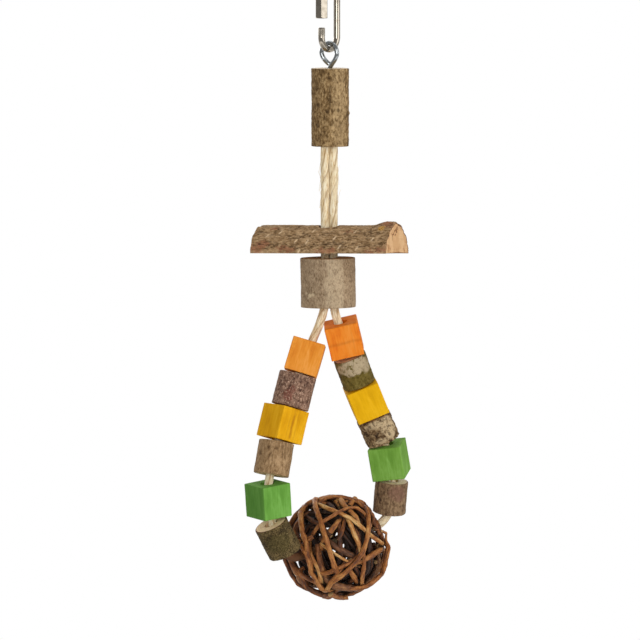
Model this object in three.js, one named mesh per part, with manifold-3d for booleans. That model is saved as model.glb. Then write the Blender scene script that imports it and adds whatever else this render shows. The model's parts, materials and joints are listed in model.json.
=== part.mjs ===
import * as THREE from "three";
import { mergeVertices } from "three/addons/utils/BufferGeometryUtils.js";
import Module from "manifold-3d";

// A wooden triangle swing that hangs from a quick link.
// Millimetres, +Z up. The origin is the inside top of the quick link, where the cage bar lies.

// Free space left between pieces that touch on the real toy, and how far a cut runs past a face
const CLEARANCE = 0.3;
const CUT_OVERRUN = 1;

// Quick link: a bent rod with a gap in one leg and a hexagonal sleeve that screws over the gap
const LINK_WIRE = 4;
const LINK_INSIDE_WIDTH = 11;
const LINK_INSIDE_LENGTH = 36;
const LINK_OPENING = 5.5;
const LINK_LOWER_LEG = 5.7;
const LINK_YAW = 52.6;
const THREAD_DIAMETER = 4.5;
const THREAD_PITCH = 0.8;
const THREAD_TURNS = 5;
const SLEEVE_LENGTH = 12.5;
const SLEEVE_ACROSS_FLATS = 7;
const SLEEVE_CHAMFER = 0.5;
const SLEEVE_TURN = 30;

// Screw eye: a wire bent to a drop-shaped eye on a threaded shank
const EYE_WIRE = 2.8;
const EYE_OUTER_WIDTH = 14.2;
const EYE_HEIGHT = 16.4;
const EYE_YAW = -37.4;
const PILOT_SLACK = 0.6;
const SHANK_LENGTH = 16;
const SHANK_CORE = 2.3;
const SHANK_THREAD = 3.2;
const SHANK_TURNS = 6;
const SHANK_POINT = 3.5;
const SHANK_NECK = 0.5;
const EYE_ROOT = 2;
const PILOT_SPARE = 1;

// Top branch: upright branch with the eye's pilot hole above and the blind rope bore below
const BRANCH_DIAMETER = 21.6;
const BRANCH_LENGTH = 46.4;
const BRANCH_OFFSET = 0.5;

// Rope: one length, both ends glued into the top branch. Its length sets how low the swing hangs.
const ROPE_LENGTH = 600;
const ROPE_DIAMETER = 5;
const STRAND_SPACING = 5.5;
const PAIR_SLACK = 1;
const ROPE_SEAT = 20;
const BEND_DROP = 3.2;
const ROPE_SIDES = 10;
const ROPE_STEPS = 80;

// Perch: half-round split log, flat side down
const PERCH_LENGTH = 89;
const PERCH_WIDTH = 33;
const PERCH_HEIGHT = 16.4;
const PERCH_YAW = -25;
const PERCH_ROLL = -3;
const KNOT_HEIGHT = 3;
const KNOT_REACH = 5.5;
const KNOT_FROM_END = 3.5;

// Bark of the perch: ridges that run along it and wander sideways, faded out at the flat side
const RIDGE_COUNT = 6;
const RIDGE_HEIGHT = 0.7;
const RIDGE_WANDER = 1.2;
const RIDGE_WAVE = 58;
const RIDGE_FADE = 4;
const RIDGE_STEPS = 4;
const PERCH_STEPS = 18;

// Barrel: thick short log below the perch
const BARREL_DIAMETER = 32.6;
const BARREL_LENGTH = 29.4;
const BARREL_GAP = 2.6;
const BARREL_TILT = -0.8;
const BARREL_OFFSET = -0.4;

// Small threaded pieces
const CUBE_SIDE = 20;
const CUBE_CORNER = 0.9;
const LOG_DIAMETER = 20;
const LOG_LENGTH = 20;
const BEAD_HOLE = 8.5;
const BEAD_GAP = 0.5;

// Wicker ball: two windings of willow twigs, one inside the other
const BALL_RADIUS = 30;
const TWIG_DIAMETER = 2.6;
const TWIG_GAP = 0.6;
const LOOPS = 6;
const LOOPS_PER_TWIG = 2;
const STEPS_PER_LOOP = 24;
const TWIG_SIDES = 6;
const POLE_RADIUS = 11.3;
const INNER_SLANT = 42;
const TURN_WIDTH = 8;
const TURN_SPREAD = 1.3;
const TWIG_END_GAP = 1;

// Out-of-round shape of a natural branch: share of the radius in its second and third lobe
const LOBE_TWO = 0.03;
const LOBE_THREE = 0.015;
const BRANCH_SIDES = 18;
const HOLE_SIDES = 16;

// Values that follow from the sizes above
const wireRadius = LINK_WIRE / 2;
const ropeRadius = ROPE_DIAMETER / 2;
const twigRadius = TWIG_DIAMETER / 2;
const strandX = STRAND_SPACING / 2;
const pairHoleRadius = strandX + ropeRadius + PAIR_SLACK;
const linkBendRadius = (LINK_INSIDE_WIDTH + LINK_WIRE) / 2;
const linkBottomZ = -(LINK_INSIDE_LENGTH + wireRadius);
const eyeTopZ = linkBottomZ + wireRadius + CLEARANCE + EYE_WIRE / 2;
const branchTopZ = eyeTopZ + EYE_WIRE / 2 - EYE_HEIGHT;
const branchBottomZ = branchTopZ - BRANCH_LENGTH;
const bendZ = branchBottomZ - BEND_DROP;

// The rope's route below the barrel, downwards. Heights count from the barrel's underside.
const leftRoute = [
  [-2.8, 0, 2],
  [-3.5, -0.1, -3],
  [-5.6, -0.7, -9.5],
  [-9.3, -1.7, -18.5],
  [-14.5, -3.2, -30],
  [-21, -6, -49],
  [-27.4, -9, -68.5],
  [-32.8, -12, -88.5],
  [-35.7, -14, -102],
  [-36.3, -13.4, -112],
  [-35.6, -11.6, -122],
  [-30.7, -7.6, -136.6],
  [-26.4, -4.5, -145.2],
  [-24.9, -3.2, -147.8],
  [-20.6, 1.2, -149.6],
  [-13, 7.4, -147.8],
];
const rightRoute = [
  [2.8, 0, 2],
  [3.4, 0.1, -3],
  [5.4, 0.8, -9.5],
  [8.8, 2.8, -18.6],
  [11.4, 5.1, -28.2],
  [14.8, 7.5, -38],
  [18.5, 10, -47.5],
  [22.3, 12.5, -57.1],
  [25.9, 15, -65.8],
  [29.5, 17.6, -74.4],
  [33.2, 20.3, -83.8],
  [35.9, 22.6, -93.4],
  [37, 24.7, -104],
  [36.7, 26.7, -115],
  [35.6, 28, -123.6],
  [34.7, 28.6, -126.6],
  [30.4, 28.7, -131.6],
  [21.6, 26.2, -135.4],
];
const BALL_CENTRE = [3.6, 21.3, -144.8];

// Both strands run straight down to the barrel's middle. What the route leaves of the rope is the drop
// from the branch to the perch.
const strandAbove = (x) => new THREE.Vector3(x, 0, BARREL_LENGTH / 2);
const routePoints = (route) => route.map(([x, y, z]) => new THREE.Vector3(x, y, z));
const loopPoints = [
  strandAbove(-strandX),
  ...routePoints(leftRoute),
  ...routePoints(rightRoute).reverse(),
  strandAbove(strandX),
];
const loopLength = new THREE.CatmullRomCurve3(loopPoints, false, "centripetal").getLength();
const straightLength = (ROPE_LENGTH - loopLength) / 2;
const ropeDrop = straightLength - ROPE_SEAT - PERCH_HEIGHT - BARREL_GAP - BARREL_LENGTH / 2;
const perchTopZ = branchBottomZ - ropeDrop;
const perchBottomZ = perchTopZ - PERCH_HEIGHT;
const barrelTopZ = perchBottomZ - BARREL_GAP;
const barrelBottomZ = barrelTopZ - BARREL_LENGTH;

const UP = new THREE.Vector3(0, 0, 1);
const rad = THREE.MathUtils.degToRad;

// Solid joins and cuts
const wasm = await Module();
wasm.setup();

function toSolid(geometry) {
  const bare = geometry.clone();
  bare.deleteAttribute("normal");
  bare.deleteAttribute("uv");
  const merged = mergeVertices(bare, 1e-4);
  const vertProperties = merged.attributes.position.array;
  const triVerts = new Uint32Array(merged.index.array);
  return new wasm.Manifold(new wasm.Mesh({ numProp: 3, vertProperties, triVerts }));
}

function toGeometry(solid) {
  const mesh = solid.getMesh();
  const geometry = new THREE.BufferGeometry();
  geometry.setAttribute("position", new THREE.BufferAttribute(new Float32Array(mesh.vertProperties), 3));
  geometry.setIndex(new THREE.BufferAttribute(new Uint32Array(mesh.triVerts), 1));
  return geometry;
}

function join(...geometries) {
  const solids = geometries.map(toSolid);
  return toGeometry(solids.reduce((whole, piece) => whole.add(piece)));
}

function cut(geometry, ...tools) {
  const solids = tools.map(toSolid);
  return toGeometry(solids.reduce((whole, tool) => whole.subtract(tool), toSolid(geometry)));
}

// A round bar standing on the level "bottom"
function bar(radius, length, bottom, sides = 24) {
  const geometry = new THREE.CylinderGeometry(radius, radius, length, sides);
  geometry.rotateX(Math.PI / 2);
  geometry.translate(0, 0, bottom + length / 2);
  return geometry;
}

// A lathe shape turned so that its axis is Z
function turned(profile, sides = 16) {
  const geometry = new THREE.LatheGeometry(profile, sides);
  geometry.rotateX(Math.PI / 2);
  return geometry;
}

function roundShape(radius, sides) {
  const points = [];
  for (let i = 0; i < sides; i += 1) {
    const angle = (2 * Math.PI * i) / sides;
    points.push(new THREE.Vector2(radius * Math.cos(angle), radius * Math.sin(angle)));
  }
  return new THREE.Shape(points);
}

function tube(curve, radius, sides, steps) {
  const section = roundShape(radius, sides);
  return new THREE.ExtrudeGeometry(section, { extrudePath: curve, steps, bevelEnabled: false });
}

// A round arc in the XZ plane
class Arc extends THREE.Curve {
  constructor(centreZ, radius, from, sweep) {
    super();
    Object.assign(this, { centreZ, radius, from, sweep });
  }

  getPoint(t, target = new THREE.Vector3()) {
    const angle = rad(this.from + this.sweep * t);
    return target.set(this.radius * Math.cos(angle), 0, this.centreZ + this.radius * Math.sin(angle));
  }
}

// Thread ridges round the Z axis, from the level "bottom" upwards
function threadRidges(coreRadius, ridgeRadius, pitch, turns, bottom) {
  const profile = [new THREE.Vector2(0, bottom), new THREE.Vector2(coreRadius, bottom)];
  for (let i = 0; i < turns; i += 1) {
    profile.push(new THREE.Vector2(ridgeRadius, bottom + pitch * (i + 0.5)));
    profile.push(new THREE.Vector2(coreRadius, bottom + pitch * (i + 1)));
  }
  profile.push(new THREE.Vector2(0, bottom + pitch * turns));
  return turned(profile, 10);
}

// Quick link
const lowBendZ = linkBottomZ + linkBendRadius;
const highBendZ = wireRadius - linkBendRadius;
const lowerEndZ = lowBendZ + LINK_LOWER_LEG;
const upperEndZ = lowerEndZ + LINK_OPENING;

function linkBody() {
  const path = new THREE.CurvePath();
  const at = (x, z) => new THREE.Vector3(x, 0, z);
  path.add(new THREE.LineCurve3(at(-linkBendRadius, lowerEndZ), at(-linkBendRadius, lowBendZ)));
  path.add(new Arc(lowBendZ, linkBendRadius, 180, 180));
  path.add(new THREE.LineCurve3(at(linkBendRadius, lowBendZ), at(linkBendRadius, highBendZ)));
  path.add(new Arc(highBendZ, linkBendRadius, 0, 180));
  path.add(new THREE.LineCurve3(at(-linkBendRadius, highBendZ), at(-linkBendRadius, upperEndZ)));
  const rod = tube(path, wireRadius, 10, 48);
  const threadBottom = lowerEndZ - THREAD_PITCH * THREAD_TURNS;
  const thread = threadRidges(wireRadius, THREAD_DIAMETER / 2, THREAD_PITCH, THREAD_TURNS, threadBottom);
  thread.translate(-linkBendRadius, 0, 0);
  return join(rod, thread);
}

function linkSleeve() {
  const corner = SLEEVE_ACROSS_FLATS / Math.sqrt(3);
  const shape = roundShape(corner, 6);
  shape.holes.push(roundShape(THREAD_DIAMETER / 2 + CLEARANCE, 16));
  const hex = new THREE.ExtrudeGeometry(shape, { depth: SLEEVE_LENGTH, bevelEnabled: false });
  const end = SLEEVE_ACROSS_FLATS / 2;
  const slope = corner + SLEEVE_CHAMFER;
  const chamfered = turned([
    new THREE.Vector2(0, 0),
    new THREE.Vector2(end, 0),
    new THREE.Vector2(slope, SLEEVE_CHAMFER),
    new THREE.Vector2(slope, SLEEVE_LENGTH - SLEEVE_CHAMFER),
    new THREE.Vector2(end, SLEEVE_LENGTH),
    new THREE.Vector2(0, SLEEVE_LENGTH),
  ], 24);
  return toGeometry(toSolid(hex).intersect(toSolid(chamfered)));
}

// Screw eye, its eye in the XZ plane and the wood's top at Z = 0
function screwEye() {
  const radius = (EYE_OUTER_WIDTH - EYE_WIRE) / 2;
  const centre = EYE_HEIGHT - EYE_WIRE / 2 - radius;
  const side = Math.acos(radius / centre);
  const tangentX = radius * Math.sin(side);
  const tangentZ = centre - radius * Math.cos(side);
  const shoulder = radius * Math.SQRT1_2;
  const behind = EYE_WIRE + CLEARANCE;
  const at = (x, y, z) => new THREE.Vector3(x, y, z);
  const path = new THREE.CatmullRomCurve3([
    at(0, 0, -EYE_ROOT),
    at(0, 0, -EYE_ROOT * 0.2),
    at(tangentX * 0.45, 0, tangentZ * 0.45),
    at(tangentX, 0, tangentZ),
    at(radius, 0, centre),
    at(shoulder, 0, centre + shoulder),
    at(0, 0, centre + radius),
    at(-shoulder, 0, centre + shoulder),
    at(-radius, 0, centre),
    at(-tangentX, behind * 0.15, tangentZ),
    at(-tangentX * 0.55, behind * 0.7, tangentZ * 0.5),
    at(-tangentX * 0.2, behind, EYE_WIRE / 2 + CLEARANCE),
  ]);
  const wire = tube(path, EYE_WIRE / 2, 10, 40);
  const pitch = (SHANK_LENGTH - SHANK_POINT - SHANK_NECK) / SHANK_TURNS;
  const core = SHANK_CORE / 2;
  const threadBottom = SHANK_POINT - SHANK_LENGTH;
  const ridges = threadRidges(core, SHANK_THREAD / 2, pitch, SHANK_TURNS, threadBottom);
  const stem = turned([
    new THREE.Vector2(0, -SHANK_LENGTH),
    new THREE.Vector2(core, threadBottom),
    new THREE.Vector2(core, -SHANK_NECK),
    new THREE.Vector2(0, -SHANK_NECK),
  ], 10);
  return join(wire, ridges, stem);
}

// Outline of a natural branch. "turn" sets where its lobes point, in degrees.
function branchShape(radius, turn) {
  const points = [];
  for (let i = 0; i < BRANCH_SIDES; i += 1) {
    const angle = (2 * Math.PI * i) / BRANCH_SIDES;
    const two = LOBE_TWO * Math.cos(2 * angle + rad(turn));
    const three = LOBE_THREE * Math.cos(3 * angle + 2 * rad(turn));
    const reach = radius * (1 + two + three);
    points.push(new THREE.Vector2(reach * Math.cos(angle), reach * Math.sin(angle)));
  }
  return new THREE.Shape(points);
}

// A length of branch centred on its hole, along Z
function log(diameter, length, turn, holeRadius) {
  const shape = branchShape(diameter / 2, turn);
  if (holeRadius > 0) {
    shape.holes.push(roundShape(holeRadius, HOLE_SIDES));
  }
  const geometry = new THREE.ExtrudeGeometry(shape, { depth: length, bevelEnabled: false });
  geometry.translate(0, 0, -length / 2);
  return geometry;
}

function topBranch() {
  const wood = log(BRANCH_DIAMETER, BRANCH_LENGTH, 40, 0);
  wood.translate(BRANCH_OFFSET, 0, branchTopZ - BRANCH_LENGTH / 2);
  const pilotDepth = SHANK_LENGTH + PILOT_SPARE;
  const pilotRadius = Math.max(EYE_WIRE, SHANK_THREAD) / 2 + PILOT_SLACK;
  const pilot = bar(pilotRadius, pilotDepth + CUT_OVERRUN, branchTopZ - pilotDepth, 16);
  const boreDepth = ROPE_SEAT + CLEARANCE;
  const bore = bar(pairHoleRadius, boreDepth + CUT_OVERRUN, branchBottomZ - CUT_OVERRUN, 20);
  return cut(wood, pilot, bore);
}

// Height of the perch's bark above its even half-round outline, at an angle round it and a place along it
function ridge(angle, x, z) {
  const wander = RIDGE_WANDER * Math.sin((2 * Math.PI * x) / RIDGE_WAVE);
  const fade = Math.min(1, z / RIDGE_FADE);
  return (RIDGE_HEIGHT / 2) * fade * Math.cos(2 * RIDGE_COUNT * angle + wander);
}

// Half-round perch along X, flat side down at Z = 0, with bark ridges and a knot near its right end
function perch() {
  const half = PERCH_WIDTH / 2;
  const sides = RIDGE_COUNT * RIDGE_STEPS;
  const outline = [];
  for (let i = 0; i <= sides; i += 1) {
    const angle = (Math.PI * i) / sides;
    outline.push(new THREE.Vector2(half * Math.cos(angle), PERCH_HEIGHT * Math.sin(angle)));
  }
  const shape = new THREE.Shape(outline);
  const settings = { depth: PERCH_LENGTH, steps: PERCH_STEPS, bevelEnabled: false };
  const wood = new THREE.ExtrudeGeometry(shape, settings);
  wood.translate(0, 0, -PERCH_LENGTH / 2);
  wood.rotateX(Math.PI / 2);
  wood.rotateZ(Math.PI / 2);
  const knotX = PERCH_LENGTH / 2 - KNOT_FROM_END;
  const place = wood.attributes.position;
  for (let i = 0; i < place.count; i += 1) {
    const [x, y, z] = [place.getX(i), place.getY(i), place.getZ(i)];
    const angle = Math.atan2(z / PERCH_HEIGHT, y / half);
    const bark = ridge(angle, x, z);
    const away = Math.hypot(x - knotX, y);
    const swell = KNOT_HEIGHT * Math.exp(-((away / KNOT_REACH) ** 2) / 2);
    place.setY(i, y + bark * Math.cos(angle));
    place.setZ(i, z + bark * Math.sin(angle) + (swell * z) / PERCH_HEIGHT);
  }
  const hole = bar(pairHoleRadius, PERCH_HEIGHT + 2 * CUT_OVERRUN, -CUT_OVERRUN, 20);
  return cut(wood, hole);
}

function cube() {
  const half = CUBE_SIDE / 2;
  const inner = half - CUBE_CORNER;
  const shape = new THREE.Shape();
  shape.absarc(inner, inner, CUBE_CORNER, 0, Math.PI / 2);
  shape.absarc(-inner, inner, CUBE_CORNER, Math.PI / 2, Math.PI);
  shape.absarc(-inner, -inner, CUBE_CORNER, Math.PI, 1.5 * Math.PI);
  shape.absarc(inner, -inner, CUBE_CORNER, 1.5 * Math.PI, 2 * Math.PI);
  shape.holes.push(roundShape(BEAD_HOLE / 2, HOLE_SIDES));
  const settings = { depth: CUBE_SIDE, curveSegments: 2, bevelEnabled: false };
  const geometry = new THREE.ExtrudeGeometry(shape, settings);
  geometry.translate(0, 0, -half);
  return geometry;
}

const below = ([x, y, z]) => new THREE.Vector3(x, y, barrelBottomZ + z);
const ballCentre = below(BALL_CENTRE);

function ropeRoute() {
  const levels = [bendZ, (bendZ + perchTopZ) / 2, perchTopZ, perchBottomZ, (barrelTopZ + barrelBottomZ) / 2];
  const strand = (x) => levels.map((z) => new THREE.Vector3(x, 0, z));
  const left = [...strand(-strandX), ...leftRoute.map(below)];
  const right = [...strand(strandX), ...rightRoute.map(below)];
  const curve = new THREE.CatmullRomCurve3([...left, ...right.reverse()], false, "centripetal");
  curve.arcLengthDivisions = 4000;
  return curve;
}

const rope = ropeRoute();
const ropeLength = rope.getLength();

// Point and downhill direction of the rope at a length along it
const ropePoint = (s) => rope.getPointAt(s / ropeLength);
const ropeHeading = (s) => rope.getTangentAt(s / ropeLength);

function nearestStation(target) {
  let best = 0;
  for (let s = 0; s < ropeLength; s += 0.5) {
    if (ropePoint(s).distanceTo(target) < ropePoint(best).distanceTo(target)) {
      best = s;
    }
  }
  return best;
}

const ballStation = nearestStation(ballCentre);

// The ball's axis runs through its centre, along the line between the rope's way in and way out
const ballAxis = ropePoint(ballStation + BALL_RADIUS).sub(ropePoint(ballStation - BALL_RADIUS)).normalize();

// The small pieces of each side, from the ball upwards.
// width and length: shares of a log's usual size. In degrees, cock: tilt against the rope,
// spin: turn on the rope, turn: where a log's lobes point.
const leftPieces = [
  { name: "left_lower_log", width: 1.01, length: 1.02, cock: -3, turn: 70 },
  { name: "left_green_cube", cock: -3, spin: 34 },
  { name: "left_middle_log", width: 1.08, length: 1, cock: -4, turn: 160 },
  { name: "left_yellow_cube", cock: -3, spin: 39 },
  { name: "left_upper_log", width: 1.08, length: 1, cock: -4, turn: 10 },
  { name: "left_orange_cube", cock: -5, spin: -2 },
];
const rightPieces = [
  { name: "right_lower_log", width: 0.99, length: 0.98, cock: 0, turn: 120 },
  { name: "right_green_cube", cock: 2, spin: -12 },
  { name: "right_middle_log", width: 1, length: 0.84, cock: 0, turn: 30 },
  { name: "right_yellow_cube", cock: 0, spin: 6 },
  { name: "right_upper_log", width: 1, length: 0.92, cock: 0, turn: 200 },
  { name: "right_orange_cube", cock: 4.5, spin: 0 },
];

const isLog = (piece) => piece.width !== undefined;
const logDiameter = (piece) => piece.width * LOG_DIAMETER;
const pieceLength = (piece) => (isLog(piece) ? piece.length * LOG_LENGTH : CUBE_SIDE);
const logReach = (piece) => (logDiameter(piece) / 2) * (1 + LOBE_TWO + LOBE_THREE);

// Place of a piece threaded at a length along the rope, "side" being -1 on the left and 1 on the right
function threadedAt(piece, station, side) {
  const axis = ropeHeading(station).multiplyScalar(side);
  axis.applyAxisAngle(new THREE.Vector3(0, 1, 0), rad(piece.cock));
  const half = pieceLength(piece) / 2;
  const centre = ropePoint(station);
  const top = centre.clone().addScaledVector(axis, half);
  const bottom = centre.clone().addScaledVector(axis, -half);
  return { centre, axis, top, bottom };
}

// Space between a log's round end and a cube's flat end
function endGap(logEnd, logAxis, reach, cubeEnd, cubeOutward) {
  const lean = Math.sqrt(Math.max(0, 1 - logAxis.dot(cubeOutward) ** 2));
  return logEnd.clone().sub(cubeEnd).dot(cubeOutward) - reach * lean;
}

function gapBetween(lower, lowerPlace, upper, upperPlace) {
  if (isLog(lower)) {
    const down = upperPlace.axis.clone().negate();
    return endGap(lowerPlace.top, lowerPlace.axis, logReach(lower), upperPlace.bottom, down);
  }
  return endGap(upperPlace.bottom, upperPlace.axis, logReach(upper), lowerPlace.top, lowerPlace.axis);
}

// Space between a log and the ball's round envelope
function ballGap(piece, place) {
  const offset = ballCentre.clone().sub(place.centre);
  const along = Math.abs(offset.dot(place.axis));
  const across = Math.sqrt(Math.max(0, offset.lengthSq() - along * along));
  const outside = Math.max(0, across - logReach(piece));
  const beyond = Math.max(0, along - pieceLength(piece) / 2);
  return Math.hypot(outside, beyond) - BALL_RADIUS;
}

// Each piece slides down the rope until it rests on the one below, the lowest on the ball
function threadPieces(pieces, side) {
  const places = [];
  let station = ballStation;
  const slide = 0.05;
  pieces.forEach((piece, i) => {
    const free = (place) => {
      if (i === 0) {
        return ballGap(piece, place) >= BEAD_GAP;
      }
      return gapBetween(pieces[i - 1], places[i - 1], piece, place) >= BEAD_GAP;
    };
    station += side * (i === 0 ? BALL_RADIUS / 2 : CUBE_SIDE / 4);
    let place = threadedAt(piece, station, side);
    while (!free(place)) {
      station += side * slide;
      place = threadedAt(piece, station, side);
    }
    places.push(place);
  });
  return places;
}

const leftPlaces = threadPieces(leftPieces, -1);
const rightPlaces = threadPieces(rightPieces, 1);

// One twig of a winding on a ball about Z. Its rising halves run in the inner layer and its falling
// halves in the outer layer, so that its loops pass over each other without touching.
class Winding extends THREE.Curve {
  constructor(slant, innerRadius, outerRadius, firstLoop, lastLoop, start) {
    super();
    Object.assign(this, { slant, innerRadius, outerRadius, firstLoop, lastLoop, start });
  }

  getUtoTmapping(u) {
    return u;
  }

  getPoint(t, target = new THREE.Vector3()) {
    const loop = THREE.MathUtils.lerp(this.firstLoop, this.lastLoop, t);
    const angle = 2 * Math.PI * loop;
    const tilt = rad(this.slant);
    const crossing = rad(this.start) + angle / LOOPS;
    const latitude = Math.asin(Math.sin(tilt) * Math.sin(angle));
    const longitude = crossing + Math.atan2(Math.cos(tilt) * Math.sin(angle), Math.cos(angle));
    const fall = THREE.MathUtils.clamp(-Math.cos(angle) / Math.sin(rad(TURN_WIDTH)), -1, 1);
    const radius = THREE.MathUtils.lerp(this.innerRadius, this.outerRadius, (fall + 1) / 2);
    const flat = radius * Math.cos(latitude);
    return target.set(flat * Math.cos(longitude), flat * Math.sin(longitude), radius * Math.sin(latitude));
  }
}

// The outer winding leaves a round opening about the rope at each pole
const layerStep = (TWIG_DIAMETER + TWIG_GAP) * TURN_SPREAD;
const outerLayer = BALL_RADIUS - twigRadius;
const outerSlant = THREE.MathUtils.radToDeg(Math.acos(POLE_RADIUS / outerLayer));
const secondLayer = outerLayer - layerStep;
const thirdLayer = secondLayer - TWIG_DIAMETER - TWIG_GAP;
const fourthLayer = thirdLayer - layerStep;

function ballTwigs() {
  const twigs = [];
  const endGapLoops = (twigRadius + TWIG_END_GAP) / (2 * Math.PI * fourthLayer);
  const windings = [
    { name: "ball_outer_twig", slant: outerSlant, inner: secondLayer, outer: outerLayer, start: 0 },
    { name: "ball_inner_twig", slant: INNER_SLANT, inner: fourthLayer, outer: thirdLayer, start: 25 },
  ];
  for (const { name, slant, inner, outer, start } of windings) {
    for (let first = 0; first < LOOPS; first += LOOPS_PER_TWIG) {
      const last = first + LOOPS_PER_TWIG - endGapLoops;
      const curve = new Winding(slant, inner, outer, first, last, start);
      twigs.push({ name: `${name}_${first / LOOPS_PER_TWIG + 1}`, curve });
    }
  }
  return twigs;
}

// Least space between stretches of one twig, and between different twigs, measured on points
function leastGaps(twigs) {
  const points = [];
  twigs.forEach(({ curve }, twig) => {
    const steps = STEPS_PER_LOOP * LOOPS_PER_TWIG;
    const corners = curve.getSpacedPoints(steps);
    for (let i = 0; i < steps; i += 1) {
      for (let part = 0; part < 8; part += 1) {
        const order = i + part / 8;
        points.push({ twig, order, at: corners[i].clone().lerp(corners[i + 1], part / 8) });
      }
    }
  });
  let self = Infinity;
  let others = Infinity;
  for (let i = 0; i < points.length; i += 1) {
    for (let j = i + 1; j < points.length; j += 1) {
      const space = points[i].at.distanceTo(points[j].at) - TWIG_DIAMETER;
      if (points[i].twig !== points[j].twig) {
        others = Math.min(others, space);
      } else if (points[j].order - points[i].order > 3) {
        self = Math.min(self, space);
      }
    }
  }
  return { self, others };
}

// Materials
const material = (color, roughness, metalness) =>
  new THREE.MeshStandardMaterial({ color, roughness, metalness });
const nickel = material(0xb9b3a4, 0.3, 1);
const zinc = material(0xa3a8ad, 0.38, 1);
const bark = material(0x7d6a52, 0.9, 0);
const sisal = material(0xd8c091, 0.95, 0);
const willow = material(0xa86f38, 0.8, 0);
const dyes = {
  orange: material(0xdd7a2a, 0.75, 0),
  yellow: material(0xdca51a, 0.75, 0),
  green: material(0x6aa044, 0.75, 0),
};

const swing = new THREE.Group();
swing.name = "triangle_swing";

function addMesh(name, geometry, surface) {
  const mesh = new THREE.Mesh(geometry, surface);
  mesh.name = name;
  swing.add(mesh);
  return mesh;
}

// Link, sleeve, eye and top branch
const linkMesh = addMesh("link_body", linkBody(), nickel);
linkMesh.rotation.z = rad(LINK_YAW);
const sleeveMesh = addMesh("link_sleeve", linkSleeve(), nickel);
const legTurn = rad(LINK_YAW);
sleeveMesh.position.x = -linkBendRadius * Math.cos(legTurn);
sleeveMesh.position.y = -linkBendRadius * Math.sin(legTurn);
sleeveMesh.position.z = upperEndZ;
sleeveMesh.rotation.z = rad(SLEEVE_TURN);
const eyeMesh = addMesh("screw_eye", screwEye(), zinc);
eyeMesh.position.z = branchTopZ;
eyeMesh.rotation.z = rad(EYE_YAW);
addMesh("top_branch", topBranch(), bark);

// Rope: two glued ends above the bend, and the loop below it, which ends in round caps on the bend's axis
function ropeEnd(x) {
  const top = branchBottomZ + ROPE_SEAT;
  const bottom = bendZ + ropeRadius + CLEARANCE;
  const geometry = bar(ropeRadius, top - bottom, bottom, ROPE_SIDES);
  geometry.translate(x, 0, 0);
  return geometry;
}

function ropeLoop() {
  const cap = (x) => new THREE.SphereGeometry(ropeRadius, 10, 6).translate(x, 0, bendZ);
  return join(tube(rope, ropeRadius, ROPE_SIDES, ROPE_STEPS), cap(-strandX), cap(strandX));
}

addMesh("rope_end_left", ropeEnd(-strandX), sisal);
addMesh("rope_end_right", ropeEnd(strandX), sisal);
addMesh("rope_loop", ropeLoop(), sisal);

// Perch and barrel
const perchMesh = addMesh("perch", perch(), bark);
perchMesh.position.z = perchBottomZ;
perchMesh.rotation.set(rad(PERCH_ROLL), 0, rad(PERCH_YAW));
const barrelMesh = addMesh("barrel", log(BARREL_DIAMETER, BARREL_LENGTH, 100, pairHoleRadius), bark);
barrelMesh.position.set(BARREL_OFFSET, 0, (barrelTopZ + barrelBottomZ) / 2);
barrelMesh.rotation.y = rad(BARREL_TILT);

// Cubes and logs on the two sides
function addPieces(pieces, places) {
  pieces.forEach((piece, i) => {
    const { centre, axis } = places[i];
    const dye = dyes[piece.name.split("_")[1]];
    const wood = () => log(logDiameter(piece), pieceLength(piece), piece.turn, BEAD_HOLE / 2);
    const mesh = addMesh(piece.name, isLog(piece) ? wood() : cube(), isLog(piece) ? bark : dye);
    mesh.position.copy(centre);
    mesh.quaternion.setFromUnitVectors(UP, axis);
    mesh.rotateZ(rad(piece.spin ?? 0));
  });
}

addPieces(leftPieces, leftPlaces);
addPieces(rightPieces, rightPlaces);

// Ball
const twigs = ballTwigs();
for (const { name, curve } of twigs) {
  const mesh = addMesh(name, tube(curve, twigRadius, TWIG_SIDES, STEPS_PER_LOOP * LOOPS_PER_TWIG), willow);
  mesh.position.copy(ballCentre);
  mesh.quaternion.setFromUnitVectors(UP, ballAxis);
}

const gaps = leastGaps(twigs);
const wholeRope = ropeLength + 2 * (ROPE_SEAT + BEND_DROP);
console.log(`least space of a twig to itself ${gaps.self.toFixed(2)} mm`);
console.log(`least space of a twig to others ${gaps.others.toFixed(2)} mm`);
console.log(`rope ${wholeRope.toFixed(1)} mm long, drop ${ropeDrop.toFixed(2)} mm`);

export default swing;
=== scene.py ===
import json
import math

import bpy
import numpy as np
from mathutils import Matrix, Vector


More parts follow.
